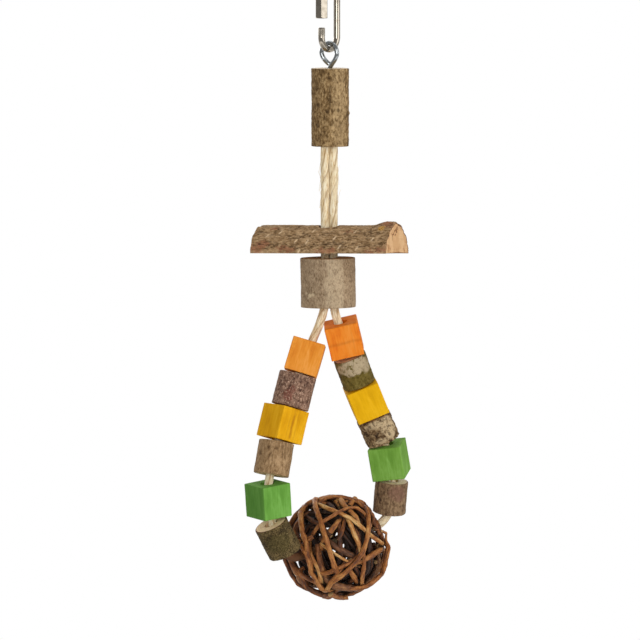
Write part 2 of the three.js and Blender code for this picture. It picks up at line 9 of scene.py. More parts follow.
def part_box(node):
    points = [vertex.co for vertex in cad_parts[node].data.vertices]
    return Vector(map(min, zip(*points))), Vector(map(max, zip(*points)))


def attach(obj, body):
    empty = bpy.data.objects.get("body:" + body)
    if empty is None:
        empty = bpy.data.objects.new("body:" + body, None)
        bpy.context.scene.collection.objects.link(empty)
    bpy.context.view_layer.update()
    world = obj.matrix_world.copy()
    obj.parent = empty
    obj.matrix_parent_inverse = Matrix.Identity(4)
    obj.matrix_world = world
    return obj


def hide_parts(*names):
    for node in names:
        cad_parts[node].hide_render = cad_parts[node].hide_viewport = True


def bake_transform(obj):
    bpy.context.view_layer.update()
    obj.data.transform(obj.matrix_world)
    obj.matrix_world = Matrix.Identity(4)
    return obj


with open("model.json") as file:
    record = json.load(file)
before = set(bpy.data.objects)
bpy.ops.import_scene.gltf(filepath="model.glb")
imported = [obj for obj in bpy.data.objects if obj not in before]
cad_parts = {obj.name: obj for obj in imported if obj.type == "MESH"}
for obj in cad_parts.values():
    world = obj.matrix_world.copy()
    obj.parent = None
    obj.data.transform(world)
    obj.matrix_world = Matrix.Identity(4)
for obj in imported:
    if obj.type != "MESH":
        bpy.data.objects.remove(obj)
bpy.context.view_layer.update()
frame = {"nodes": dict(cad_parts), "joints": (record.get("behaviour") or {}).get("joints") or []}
nodes = frame["nodes"]
joints = {joint["child"]: joint for joint in frame["joints"]}
scene = bpy.context.scene
MM = 0.001

# Camera: the photograph's view, from a little above, through a long lens
VIEW_TARGET = Vector((-0.0055, 0, -0.1993))
VIEW_DISTANCE = 8.0
VIEW_ELEVATION = math.radians(3.7)
VIEW_WIDTH = 0.381
camera_data = bpy.data.cameras.new("camera")
camera_data.sensor_width = 36
camera_data.lens = camera_data.sensor_width * VIEW_DISTANCE / VIEW_WIDTH
camera_data.clip_start = 0.05
camera_data.clip_end = 60
camera = bpy.data.objects.new("camera", camera_data)
view_back = Vector((0, -math.cos(VIEW_ELEVATION), math.sin(VIEW_ELEVATION)))
camera.location = VIEW_TARGET + view_back * VIEW_DISTANCE
camera.rotation_euler = (math.pi / 2 - VIEW_ELEVATION, 0, 0)
scene.collection.objects.link(camera)
scene.camera = camera
scene.view_settings.view_transform = "Standard"


def unit(vectors):
    """A vector, or each row of vectors, at length 1"""
    return vectors / np.linalg.norm(vectors, axis=-1, keepdims=True)


# Noise with a fixed seed, for relief
class Noise:
    def __init__(self, seed):
        rng = np.random.default_rng(seed)
        self.order = np.concatenate([rng.permutation(256)] * 3)
        self.slopes = unit(rng.normal(size=(256, 3)))

    def __call__(self, points):
        cell = np.floor(points).astype(int)
        part = points - cell
        fade = part ** 3 * (part * (part * 6 - 15) + 10)
        total = np.zeros(len(points))
        for corner in np.ndindex(2, 2, 2):
            at = (cell + corner) & 255
            index = self.order[self.order[self.order[at[:, 0]] + at[:, 1]] + at[:, 2]]
            slope = np.einsum("ij,ij->i", self.slopes[index], part - corner)
            weight = np.prod(np.where(corner, fade, 1 - fade), axis=1)
            total += weight * slope
        return total

    def layers(self, points, count=4):
        return sum(self(points * 2 ** k + 7.3 * k) / 2 ** k for k in range(count))


# Meshes from rings of points
def ring_faces(count, size, closed):
    faces = []
    last = count if closed else count - 1
    for i in range(last):
        low, high = i * size, (i + 1) % count * size
        for j in range(size):
            k = (j + 1) % size
            faces.append((low + j, low + k, high + k, high + j))
    return faces


def ring_body(rings, closed=False):
    """Points and faces of a body lofted through rings. An open row of rings is capped at both ends."""
    size = len(rings[0])
    points = np.concatenate(rings)
    faces = ring_faces(len(rings), size, closed)
    if not closed:
        for first, ring, way in ((0, rings[0], 1), ((len(rings) - 1) * size, rings[-1], -1)):
            hub = len(points)
            points = np.vstack([points, ring.mean(0)])
            faces += [(first + j, hub, first + (j + 1) % size)[::way] for j in range(size)]
    return points, outward(points, faces)


def outward(points, faces):
    """The faces, turned over if they look inward"""
    a, b, c = np.moveaxis(points[[face[:3] for face in faces]], 1, 0)
    inside_out = np.sum(a * np.cross(b, c)) < 0
    return [face[::-1] for face in faces] if inside_out else faces


def add_object(name, points, faces, materials, place=None, slots=None, values=None, sharp=40):
    """A smooth mesh object. Points are in millimetres in the piece's own frame."""
    mesh = bpy.data.meshes.new(name)
    mesh.from_pydata((np.asarray(points) * MM).tolist(), [], faces)
    for material in materials:
        mesh.materials.append(material)
    if slots is not None:
        mesh.polygons.foreach_set("material_index", np.asarray(slots, np.int32))
    mesh.polygons.foreach_set("use_smooth", np.ones(len(mesh.polygons), bool))
    mesh.set_sharp_from_angle(angle=math.radians(sharp))
    for key, value in (values or {}).items():
        value = np.asarray(value, np.float32)
        kind = "FLOAT_VECTOR" if value.ndim == 2 else "FLOAT"
        field = "vector" if value.ndim == 2 else "value"
        mesh.attributes.new(key, kind, "POINT").data.foreach_set(field, value.ravel())
    mesh.update()
    piece = bpy.data.objects.new(name, mesh)
    scene.collection.objects.link(piece)
    if place is not None:
        piece.matrix_world = place
    return piece


def settle(piece, body, replaced):
    """Hangs a piece on its body's empty and hides the parts of the solid model that it stands for"""
    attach(piece, body)
    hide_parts(*replaced)


def add_piece(name, body, replaced, slot, *parts, **settings):
    settle(add_object(name, *parts, **settings), body, replaced)


# Node trees
def srgb(red, green, blue):
    """A colour as read off a screen, 0 to 255"""
    def linear(v):
        v /= 255
        return v / 12.92 if v <= 0.04045 else ((v + 0.055) / 1.055) ** 2.4

    return (linear(red), linear(green), linear(blue), 1)


class Value:
    """A node's output, so that sums and products of outputs can be written as such"""
    def __init__(self, tree, socket):
        self.tree, self.socket = tree, socket

    def __add__(self, other):
        return self.tree.math("ADD", self, other)

    def __sub__(self, other):
        return self.tree.math("SUBTRACT", self, other)

    def __mul__(self, other):
        return self.tree.math("MULTIPLY", self, other)


class Tree:
    """A node tree to add nodes to. Its colours are given as read off a screen."""
    def __init__(self, tree):
        self.tree = tree

    def add(self, kind, inputs=(), output=0, **settings):
        node = self.tree.nodes.new("ShaderNode" + kind)
        for key, value in settings.items():
            setattr(node, key, value)
        for key, value in dict(inputs).items():
            self.put(node.inputs[key], value)
        return Value(self, node.outputs[output])

    def put(self, socket, value):
        if isinstance(value, Value):
            self.tree.links.new(value.socket, socket)
        else:
            socket.default_value = srgb(*value) if socket.type == "RGBA" else value

    def math(self, operation, a, b=0.0):
        return self.add("Math", {0: a, 1: b}, operation=operation)

    def span(self, value, low, high, to_low=0.0, to_high=1.0):
        """Smooth step of a value between two levels"""
        inputs = {0: value, 1: low, 2: high, 3: to_low, 4: to_high}
        return self.add("MapRange", inputs, interpolation_type="SMOOTHSTEP")


class Shader(Tree):
    """A material's node tree"""
    def __init__(self, name):
        self.material = bpy.data.materials.new(name)
        self.material.use_nodes = True
        super().__init__(self.material.node_tree)
        self.surface = self.tree.nodes["Principled BSDF"]
        self.colour = (255, 255, 255)

    def place(self, stretch=(1, 1, 1), turn=(0, 0, 0), shift=(0, 0, 0)):
        """Object coordinates in millimetres, stretched"""
        where = self.add("TexCoord", output="Object")
        size = [1 / (MM * s) for s in stretch]
        turn = [math.radians(a) for a in turn]
        return self.add("Mapping", {"Vector": where, "Scale": size, "Rotation": turn, "Location": shift})

    def laid(self, *scale):
        """Coordinates wound round a rope or twig, and along it"""
        return self.add("Mapping", {"Vector": self.attribute("lay", "Vector"), "Scale": scale})

    def attribute(self, name, output="Fac"):
        return self.add("Attribute", output=output, attribute_name=name)

    def noise(self, where, scale, detail=4, rough=0.55, bend=0):
        inputs = {"Vector": where, "Scale": scale, "Detail": detail, "Roughness": rough, "Distortion": bend}
        return self.add("TexNoise", inputs)

    def length(self, where):
        return self.add("VectorMath", {0: where}, output="Value", operation="LENGTH")

    def mix(self, share, a, b, blend="MIX"):
        return self.add("Mix", {0: share, 6: a, 7: b}, 2, data_type="RGBA", blend_type=blend)

    def ramp(self, value, *stops):
        """Colour by a value, from rising stops of position and colour"""
        colour = self.add("ValToRGB", {0: value})
        elements = colour.socket.node.color_ramp.elements
        for index, (position, tint) in enumerate([stops[0], stops[-1], *stops[1:-1]]):
            element = elements[index] if index < 2 else elements.new(position)
            element.position, element.color = position, srgb(*tint)
        return colour

    def tint(self, share, colour, blend="MIX"):
        """Mixes a share of a colour into the surface's own"""
        self.colour = self.mix(share, self.colour, colour, blend)

    def finish(self, rough, bump=None, **constants):
        """The material. A bump is its height, its depth in millimetres and its strength."""
        self.put(self.surface.inputs["Base Color"], self.colour)
        self.put(self.surface.inputs["Roughness"], rough)
        if bump:
            height, depth, strength = bump
            normal = self.add("Bump", {"Height": height, "Distance": depth * MM, "Strength": strength})
            self.put(self.surface.inputs["Normal"], normal)
        for key, value in constants.items():
            self.surface.inputs[key.replace("_", " ")].default_value = value
        return self.material


# Materials
def bark_material(
    name, dark, middle, light, patch, fleck, flecks, grain, scale, crevices=0.6, fleck_level=0.66,
    steps=(0.36, 0.5, 0.7),
):
    """Bark: streaks along the branch, blotches, crevices darkened as bark colour and as painted shade, a
    second tone in patches, which on the branch and the barrel is a painted highlight, and flecks
    """
    sh = Shader(name)
    streaks = sh.noise(sh.place(grain), scale, 6, 0.62, 0.4)
    fine = sh.noise(sh.place(), 2.2, 5, 0.7)
    blotches = sh.noise(sh.place(shift=(3, 9, 4)), 0.16, 3)
    sh.colour = sh.ramp(streaks * 0.75 + blotches * 0.3, *zip(steps, (dark, middle, light)))
    sh.tint(sh.attribute("patch"), sh.mix(sh.span(streaks, 0.3, 0.52), middle, patch))
    spots = sh.noise(sh.place((0.55, 0.55, 0.9), shift=(5, 1, 2)), 0.9, 2)
    sh.tint(sh.span(spots, fleck_level, fleck_level + 0.08) * flecks, fleck)
    sh.tint(sh.attribute("mark"), fleck)
    torn = sh.mix(sh.span(fine, 0.4, 0.6), (150, 100, 44), (226, 184, 104))
    sh.tint(sh.attribute("torn"), torn)
    # Crevices: darker bark, and painted shade in the hollows of the relief
    crevice = sh.span(sh.attribute("relief"), -0.05, -0.55)
    sh.tint(crevice * crevices, (44, 32, 22))
    sh.tint(0.35, sh.ramp(fine, (0.3, (98, 90, 78)), (0.7, (222, 208, 186))), "OVERLAY")
    rough = sh.span(streaks, 0.3, 0.7, 0.95, 0.78)
    return sh.finish(rough, (streaks * 0.8 + fine * 0.35, 0.45, 0.8), Specular_IOR_Level=0.25)


def cut_material(name, pale, ring, rind=(104, 66, 42), rind_width=0.9, stains=0.5, sheen=0.2, crack=None):
    """Sawn end of a branch: growth rings round the pith, saw lines, stains and the bark's brown edge. A crack
    is its slope in degrees, its level, its middle and half its length."""
    sh = Shader(name)
    where = sh.place()
    wobble = sh.noise(where, 0.12, 3)
    rings = sh.math("SINE", sh.length(sh.place((1, 1, 1e6))) * 4.2 + wobble * 9)
    sh.colour = sh.mix(sh.span(rings, -0.4, 1, 0, 0.55), pale, ring)
    saw = sh.noise(sh.place((0.35, 9, 1), (0, 0, 35)), 1.0, 3)
    sh.tint(sh.span(saw, 0.5, 0.75, 0, 0.4), ring)
    darkening = sh.noise(sh.place(shift=(2, 5, 1)), 0.2, 3)
    sh.tint(sh.span(darkening, 0.52, 0.7, 0, stains), (164, 106, 62))
    edge = sh.attribute("edge") - wobble * 0.5
    sh.tint(sh.span(edge, rind_width, rind_width * 0.45), rind)
    if crack:
        slope, level, middle, half = crack
        turned = sh.place(turn=(-slope, 0, 0))
        bend = sh.span(sh.noise(where, 0.3, 3), 0.3, 0.7, -1.3, 1.3)
        across = sh.math("ABSOLUTE", sh.add("SeparateXYZ", {0: turned}, "Z") - level + bend)
        along = sh.math("ABSOLUTE", sh.add("SeparateXYZ", {0: turned}, "Y") - middle)
        line = sh.span(across, 0.8, 0.25) * sh.span(along, half, half * 0.7, 0, 0.85)
        sh.tint(line, (112, 66, 36))
    height = saw + rings * 0.12
    return sh.finish(0.88 - 0.5 * sheen, (height, 0.25, 0.6), Specular_IOR_Level=sheen)


def dye_material(name, base, deep, pale, streak, streaks=0.3, turn=(0, 0, 0)):
    """Dyed sawn wood: faint grain along the block, pores, uneven dye, single dark streaks, paler edges from
    wear and a painted highlight, and painted shade in the hole and, through the streak mask, on a face
    """
    sh = Shader(name)
    lines = sh.noise(sh.place((1, 1, 9), turn), 0.75, 5, 0.6, 0.3)
    broad = sh.noise(sh.place((1, 1, 2), turn, (4, 2, 8)), 0.13, 3)
    sh.colour = sh.ramp(lines * 0.45 + broad * 0.55, (0.34, deep), (0.5, base), (0.66, pale))
    band = sh.span(sh.noise(sh.place((0.9, 0.9, 14), turn, (1, 6, 2)), 0.42, 3), 0.6, 0.72)
    sh.tint(band * (streaks * 0.4), streak)
    # The streak mask holds the real streaks and, on one cube, a face darkened as painted shade
    sh.tint(sh.attribute("streak"), streak)
    pores = sh.span(sh.noise(sh.place((0.35, 0.35, 2.6), turn), 1.3, 2), 0.68, 0.76)
    sh.tint(pores * 0.4, streak)
    fuzz = sh.noise(sh.place(), 3.0, 3)
    # Paler edges: wear, and a painted highlight where the bevels catch the light
    sh.tint(sh.span(sh.attribute("edge") + fuzz * 0.5, 0.95, 1.25, 0, 0.4), pale)
    # Painted shade: the hole's wall takes the deep tone
    sh.tint(sh.attribute("hole") * 0.6, deep)
    height = lines + fuzz * 0.3 - pores
    rough = sh.span(lines, 0.3, 0.7, 0.85, 0.7)
    return sh.finish(rough, (height, 0.14, 0.5), Specular_IOR_Level=0.12)


def metal_material(name, tint, dull, rough):
    """Plated steel: faint clouding, small dark scuffs and a slightly wavy surface"""
    sh = Shader(name)
    cloud = sh.noise(sh.place(), 0.35, 3)
    sh.colour = sh.mix(sh.span(cloud, 0.4, 0.7, 0, 0.5), tint, dull)
    scuff = sh.span(sh.noise(sh.place((0.4, 0.4, 2)), 1.6, 4, 0.7), 0.66, 0.8)
    sh.tint(scuff * 0.25, dull)
    waves = sh.noise(sh.place((1, 1, 3)), 0.3, 2)
    value = sh.span(cloud + scuff * 0.2, 0.3, 0.9, rough, rough + 0.12)
    return sh.finish(value, (waves, 0.02, 0.3), Metallic=1.0)


def rope_material():
    """Plant fibre: long pale fibres, with painted brown shade in the grooves and between the strands, and
    painted shade where it nears the ball and between the perch and the barrel
    """
    sh = Shader("rope_fibre")
    fibre = sh.noise(sh.laid(1.9, 1.9, 0.24), 1.0, 5, 0.65, 0.3)
    tuft = sh.noise(sh.laid(0.8, 0.8, 0.1), 1.0, 3)
    sh.colour = sh.ramp(fibre, (0.33, (190, 154, 102)), (0.48, (240, 220, 180)), (0.62, (255, 246, 220)))
    sh.tint(sh.span(tuft, 0.55, 0.72, 0, 0.5), (226, 186, 124))
    # Painted brown shade in the lay's grooves and where the two strands press together
    groove = sh.span(sh.attribute("relief"), 0.3, 1.0)
    sh.tint(groove * 0.7, (164, 126, 76))
    # Painted shade where the rope nears the ball and between the perch and the barrel
    sh.tint(sh.attribute("darkening"), (100, 66, 40))
    return sh.finish(0.85, (fibre + tuft * 0.5, 0.35, 0.9), Specular_IOR_Level=0.3)


def willow_material():
    """Unpeeled willow twig: each twig its own tone, with lengthwise streaks, scars, peeled parts and pale cut
    ends. Thick twigs are greyer. Shade is painted in: darker where nearby twigs close round the bark."""
    sh = Shader("willow_twig")
    streak = sh.noise(sh.laid(0.9, 0.9, 0.16), 1.0, 5, 0.7)
    mottle = sh.noise(sh.place(), 0.6, 4, 0.65)
    tone = sh.attribute("tone") + (streak - 0.5) * 1.7
    sh.colour = sh.ramp(
        tone, (0.0, (44, 24, 12)), (0.3, (92, 50, 24)), (0.55, (150, 90, 42)), (0.78, (184, 126, 66)),
        (1.0, (212, 172, 112)),
    )
    worn = sh.ramp(tone, (0.1, (54, 34, 22)), (0.5, (114, 74, 46)), (0.9, (168, 128, 88)))
    sh.tint(sh.attribute("aged"), worn)
    scar = sh.span(sh.noise(sh.place((0.7, 0.7, 0.7), shift=(8, 3, 1)), 0.6, 3), 0.58, 0.7)
    sh.tint(scar * 0.6, (64, 38, 22))
    sh.tint(sh.span(mottle, 0.6, 0.78, 0, 0.5), (196, 152, 96))
    sh.tint(sh.attribute("cut"), (206, 166, 112))
    # Painted shade: bark is tinted towards near-black where nearby twigs close it in, by ambient occlusion
    open_share = sh.add("AmbientOcclusion", {"Distance": 9 * MM}, output="AO", samples=8, only_local=True)
    sh.tint(sh.span(open_share, 0.75, 0.25, 0, 0.92), (30, 17, 10))
    rough = sh.span(mottle, 0.3, 0.7, 0.45, 0.7)
    return sh.finish(rough, (streak + mottle * 0.5, 0.3, 0.8), Specular_IOR_Level=0.3)


def floor_material():
    """Matt white that keeps shadows near the object. Seen directly, it brightens to white at its rim."""
    sh = Shader("floor_white")
    rays = [sh.add("LightPath", output=f"Is {kind} Ray") for kind in ("Camera", "Glossy")]
    lift = sh.span(sh.length(sh.place()), 250, 800, 0.12, 1.0)
    sh.put(sh.surface.inputs["Emission Color"], (255, 255, 255))
    sh.put(sh.surface.inputs["Emission Strength"], sh.math("MAXIMUM", *rays) * lift)
    sh.colour = (238, 238, 238)
    return sh.finish(1.0, Specular_IOR_Level=0.0)


# Curves
def smooth_curve(points, per_span=12):
    """Centripetal Catmull-Rom curve through points"""
    points = np.asarray(points, float)
    ends = [2 * points[0] - points[1], 2 * points[-1] - points[-2]]
    p = np.vstack([ends[0], points, ends[1]])
    out = []
    t = np.linspace(0, 1, per_span, endpoint=False)[:, None]
    for i in range(1, len(p) - 2):
        steps = [max(np.linalg.norm(p[i + k] - p[i + k - 1]) ** 0.5, 1e-6) for k in range(3)]
        a, b, c = steps
        m1 = b * ((p[i] - p[i - 1]) / a - (p[i + 1] - p[i - 1]) / (a + b) + (p[i + 1] - p[i]) / b)
        m2 = b * ((p[i + 1] - p[i]) / b - (p[i + 2] - p[i]) / (b + c) + (p[i + 2] - p[i + 1]) / c)
        d = p[i + 1] - p[i]
        out.append(p[i] + m1 * t + (3 * d - 2 * m1 - m2) * t ** 2 + (m1 + m2 - 2 * d) * t ** 3)
    return np.vstack([*out, points[-1]])


def even(points, step):
    """The same line with points at even lengths, and those lengths"""
    lengths = np.concatenate([[0], np.cumsum(np.linalg.norm(np.diff(points, axis=0), axis=1))])
    count = max(2, int(round(lengths[-1] / step)) + 1)
    at = np.linspace(0, lengths[-1], count)
    return np.stack([np.interp(at, lengths, points[:, k]) for k in range(3)], 1), at


def frames(points, first=(0, 1, 0)):
    """Tangents and two crosswise directions that don't twist along a line"""
    tangents = unit(np.gradient(points, axis=0))
    side = np.asarray(first, float)
    sides = []
    for tangent in tangents:
        side = unit(side - tangent * (side @ tangent))
        sides.append(side)
    sides = np.array(sides)
    return tangents, sides, np.cross(tangents, sides)


def tube_rings(points, reach, angles, first=(0, 1, 0)):
    """Rings round a line; reach is one radius per point and angle"""
    _, u, v = frames(points, first)
    cosine, sine = np.cos(angles), np.sin(angles)
    around = u[:, None, :] * cosine[..., None] + v[:, None, :] * sine[..., None]
    return points[:, None, :] + around * reach[..., None]


def step(value, low, high):
    share = np.clip((value - low) / (high - low), 0, 1)
    return share * share * (3 - 2 * share)


def circle(count, offset=0.0):
    return (np.arange(count) + offset) * 2 * math.pi / count


def polar(angle, radius=1.0):
    """Flat points round the origin"""
    return np.column_stack([radius * np.cos(angle), radius * np.sin(angle)])


def wound(count, sides):
    """Angles of the points on each of a line's rings"""
    return np.broadcast_to(circle(sides), (count, sides))


def coat(angle, along, radius=1.0):
    """Texture points wound round a line"""
    along = np.broadcast_to(along[:, None], angle.shape)
    return np.stack([radius * np.cos(angle), radius * np.sin(angle), along], -1)


def on_line(x, y=0, z=0):
    """Points for noise that runs along a line"""
    return np.column_stack([x, 0 * x + y, 0 * x + z])


def at_level(flat, z):
    """Flat points raised to a level"""
    return np.column_stack([flat, np.full(len(flat), z)])


# Rope: the route's points below the barrel repeat the solid model's, in millimetres
STRAND_X = 2.75
STRAND_MIDDLE = -125
ROPE_DIAMETER = 5.0
ROPE_SEAT = 20.0
ROPE_LAY = 46.0
# Radius in the grooves, and the height of strands and fibres over it
ROPE_CORE = 2.44
STRAND_HEIGHT = 0.13
FIBRE_HEIGHT = 0.11
# How far the two hanging strands lean into each other
STRAND_PRESS = 0.24
ROPE_SIDES = 54
ROPE_HAIRS = 110
HAIR_POINTS, HAIR_SIDES = 9, 5
# The rope is painted darker below these levels: painted shade where it nears and enters the ball
ROPE_PAINTED_SHADE = (-338, -324)
BEND_DROP = 3.2
BARREL_LENGTH = 29.4
LEFT_ROUTE = [
    (-2.8, 0, 2), (-3.5, -0.1, -3), (-5.6, -0.7, -9.5), (-9.3, -1.7, -18.5), (-14.5, -3.2, -30),
    (-21, -6, -49), (-27.4, -9, -68.5), (-32.8, -12, -88.5), (-35.7, -14, -102), (-36.3, -13.4, -112),
    (-35.6, -11.6, -122), (-30.7, -7.6, -136.6), (-26.4, -4.5, -145.2), (-24.9, -3.2, -147.8),
    (-20.6, 1.2, -149.6), (-13, 7.4, -147.8),
]
RIGHT_ROUTE = [
    (2.8, 0, 2), (3.4, 0.1, -3), (5.4, 0.8, -9.5), (8.8, 2.8, -18.6), (11.4, 5.1, -28.2),
    (14.8, 7.5, -38), (18.5, 10, -47.5), (22.3, 12.5, -57.1), (25.9, 15, -65.8), (29.5, 17.6, -74.4),
    (33.2, 20.3, -83.8), (35.9, 22.6, -93.4), (37, 24.7, -104), (36.7, 26.7, -115), (35.6, 28, -123.6),
    (34.7, 28.6, -126.6), (30.4, 28.7, -131.6), (21.6, 26.2, -135.4),
]
branch_low, branch_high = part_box("top_branch")
branch_bottom, branch_top = branch_low.z / MM, branch_high.z / MM
perch_bottom = joints["perch"]["pos_m"][2] / MM
perch_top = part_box("perch")[1].z / MM
barrel_middle = joints["barrel"]["pos_m"][2] / MM
barrel_bottom = barrel_middle - BARREL_LENGTH / 2


def rope_side(x, route):
    levels = [branch_bottom + ROPE_SEAT, branch_bottom - BEND_DROP, STRAND_MIDDLE, perch_bottom]
    hanging = [(x, 0, z) for z in (*levels, barrel_middle)]
    return hanging + [(a, b, barrel_bottom + c) for a, b, c in route]


rope_route = rope_side(-STRAND_X, LEFT_ROUTE) + rope_side(STRAND_X, RIGHT_ROUTE)[::-1]
rope_line, rope_at = even(smooth_curve(rope_route), 0.6)


def rope_hairs():
    """Start, points and faces of each loose fibre on the free stretch between the branch and the perch"""
    rng = np.random.default_rng(12)
    _, u, v = frames(rope_line)
    free = (rope_line[:, 2] < branch_bottom - 7) & (rope_line[:, 2] > perch_top + 3)
    index = np.arange(len(rope_line))
    share = np.linspace(0, 1, HAIR_POINTS)
    width = np.broadcast_to((0.15 - 0.07 * share)[:, None], (HAIR_POINTS, HAIR_SIDES))
    hairs = []
    for start in rng.choice(np.flatnonzero(free), ROPE_HAIRS, replace=False):
        at = np.clip(start + rng.choice((-1, 1)) * rng.uniform(7, 20) * share, 0, index[-1])
        angle = (rng.uniform(0, 2 * math.pi) + rng.normal(0, 0.5) * share)[:, None]
        reach = (2.35 + rng.uniform(0.4, 1.7) * share ** 1.6)[:, None]
        near = at.astype(int)
        if free[near].all():
            centre = np.stack([np.interp(at, index, rope_line[:, k]) for k in range(3)], 1)
            line = centre + (u[near] * np.cos(angle) + v[near] * np.sin(angle)) * reach
            rings = tube_rings(line, width, wound(HAIR_POINTS, HAIR_SIDES), (0.3, 1, 0.1))
            hairs.append((start, *ring_body(rings)))
    return hairs


def make_rope():
    rough = Noise(11)
    turn = rope_at * 2 * math.pi / ROPE_LAY + 1.4 * rough(on_line(rope_at * 0.05))
    angle = wound(len(rope_at), ROPE_SIDES)
    crown = np.abs(np.sin(1.5 * (angle - turn[:, None]))) ** 0.8
    lay = coat(angle, rope_at, ROPE_DIAMETER / 2).reshape(-1, 3)
    fibres = rough.layers(lay * (1.9, 1.9, 0.14), 3).reshape(angle.shape)
    lumps = rough.layers(lay * (0.4, 0.4, 0.14) + 40, 2).reshape(angle.shape)
    around = tube_rings(rope_line, np.ones(angle.shape), angle) - rope_line[:, None, :]
    level = rope_line[:, 2]
    # Above the barrel the two strands hang side by side and press together
    inward = -np.sign(rope_line[:, :1]) * around[..., 0] * step(level, barrel_bottom, barrel_middle)[:, None]
    hanging = step(level, perch_top, perch_top + 6) * (1 - step(level, branch_bottom - 6, branch_bottom))
    meander = 0.5 * np.sign(rope_line[:, 0]) * hanging * rough.layers(on_line(level * 0.07, z=5), 2)
    reach = ROPE_CORE + STRAND_HEIGHT * crown + FIBRE_HEIGHT * fibres
    reach = reach + (0.13 + 0.2 * hanging[:, None]) * lumps + (STRAND_PRESS + meander)[:, None] * inward
    # The relief that tints the rope as painted shade: the lay's grooves and the pressed sides of the strands
    groove = np.maximum(0.95 * (1 - crown) - 0.5 * lumps, 0.5 * step(inward, 0.55, 0.95))
    points, faces = ring_body(rope_line[:, None, :] + around * reach[..., None])
    level = points[:, 2]
    # Painted shade: darker on the short stretch between the barrel and the perch, and near and inside the
    # ball
    between = step(level, barrel_middle + 12, barrel_middle + 14)
    between = between * (1 - step(level, perch_bottom + 1, perch_bottom + 4))
    darkening = np.maximum(0.27 * between, 1 - step(level, *ROPE_PAINTED_SHADE))
    values = {
        "lay": np.vstack([lay, np.zeros((2, 3))]),
        "relief": np.append(groove.ravel(), [0, 0]),
        "darkening": darkening,
    }
    for start, hair, sheet in rope_hairs():
        faces += [tuple(v + len(points) for v in face) for face in sheet]
        points = np.vstack([points, hair])
        values["lay"] = np.vstack([values["lay"], np.tile((start, 0, 0), (len(hair), 1))])
        for key in ("relief", "darkening"):
            values[key] = np.append(values[key], np.zeros(len(hair)))
    rope = add_object("rope", points, faces, [rope_material()], values=values, sharp=80)
    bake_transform(rope)
    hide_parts("rope_end_left", "rope_end_right", "rope_loop")


make_rope()

# Threaded wooden pieces. The photograph looks along +Y, so a piece's near side is at -90 degrees.
NEAR = -90
BEAD_HOLE = 4.25
PAIR_HOLE = STRAND_X + ROPE_DIAMETER / 2 + 1
LOG_BEVEL = 0.45
# Angles of the rings round a bevel
BEVEL_ANGLES = (0.35, 0.8, 1.25)
LOG_ROW = 0.42
CUBE_SIDE = 20.0
CUBE_CORNER = 0.7
CUBE_BEVEL = 0.5
CUBE_ROWS = 46
# From here out a point lies on a cube's face, or near its edge
CUBE_FACE = 9.4
CUBE_EDGE = 9.0
FACE_RINGS = 9
# Parts of a piece, which are its material slots too
SIDE, CUT, BORE = 0, 1, 2
# Distance to the bark's edge that stands for far inside
DEEP = 9.0


def local_frame(name, spin=0.0):
    """A piece's own frame: Z along its hole"""
    joint = joints[name]
    tilt = Vector((0, 0, 1)).rotation_difference(Vector(joint["axis"])).to_matrix().to_4x4()
    return Matrix.Translation(joint["pos_m"]) @ tilt @ Matrix.Rotation(math.radians(spin), 4, "Z")


def local_points(name, place):
    inverse = place.inverted()
    return np.array([inverse @ v.co for v in nodes[name].data.vertices]) / MM


def lobed_outline(points, count):
    """Round outline fitted to the solid's own, as points round Z"""
    def waves(a):
        return np.stack([np.ones_like(a), *[f(k * a) for k in (1, 2, 3) for f in (np.cos, np.sin)]], 1)

    reach = np.hypot(points[:, 0], points[:, 1])
    rim = points[reach > 0.75 * reach.max()]
    angle = np.arctan2(rim[:, 1], rim[:, 0])
    shares = np.linalg.lstsq(waves(angle), np.hypot(rim[:, 0], rim[:, 1]), rcond=None)[0]
    theta = circle(count)
    return polar(theta, waves(theta) @ shares)


def square_outline(side, corner, per_side=30, per_corner=6):
    half, points = side / 2, []
    for quarter in range(4):
        start = quarter * math.pi / 2
        turn = np.array([[math.cos(start), -math.sin(start)], [math.sin(start), math.cos(start)]])
        run = np.linspace(-(half - corner), half - corner, per_side, endpoint=False)
        points += [turn @ (half, y) for y in run]
        arc = np.linspace(0, math.pi / 2, per_corner, endpoint=False)
        inner = half - corner
        points += [turn @ (inner + corner * math.cos(a), inner + corner * math.sin(a)) for a in arc]
    return np.array(points)


def outline_normals(outline):
    run = np.roll(outline, -1, 0) - np.roll(outline, 1, 0)
    return unit(np.stack([run[:, 1], -run[:, 0]], 1))


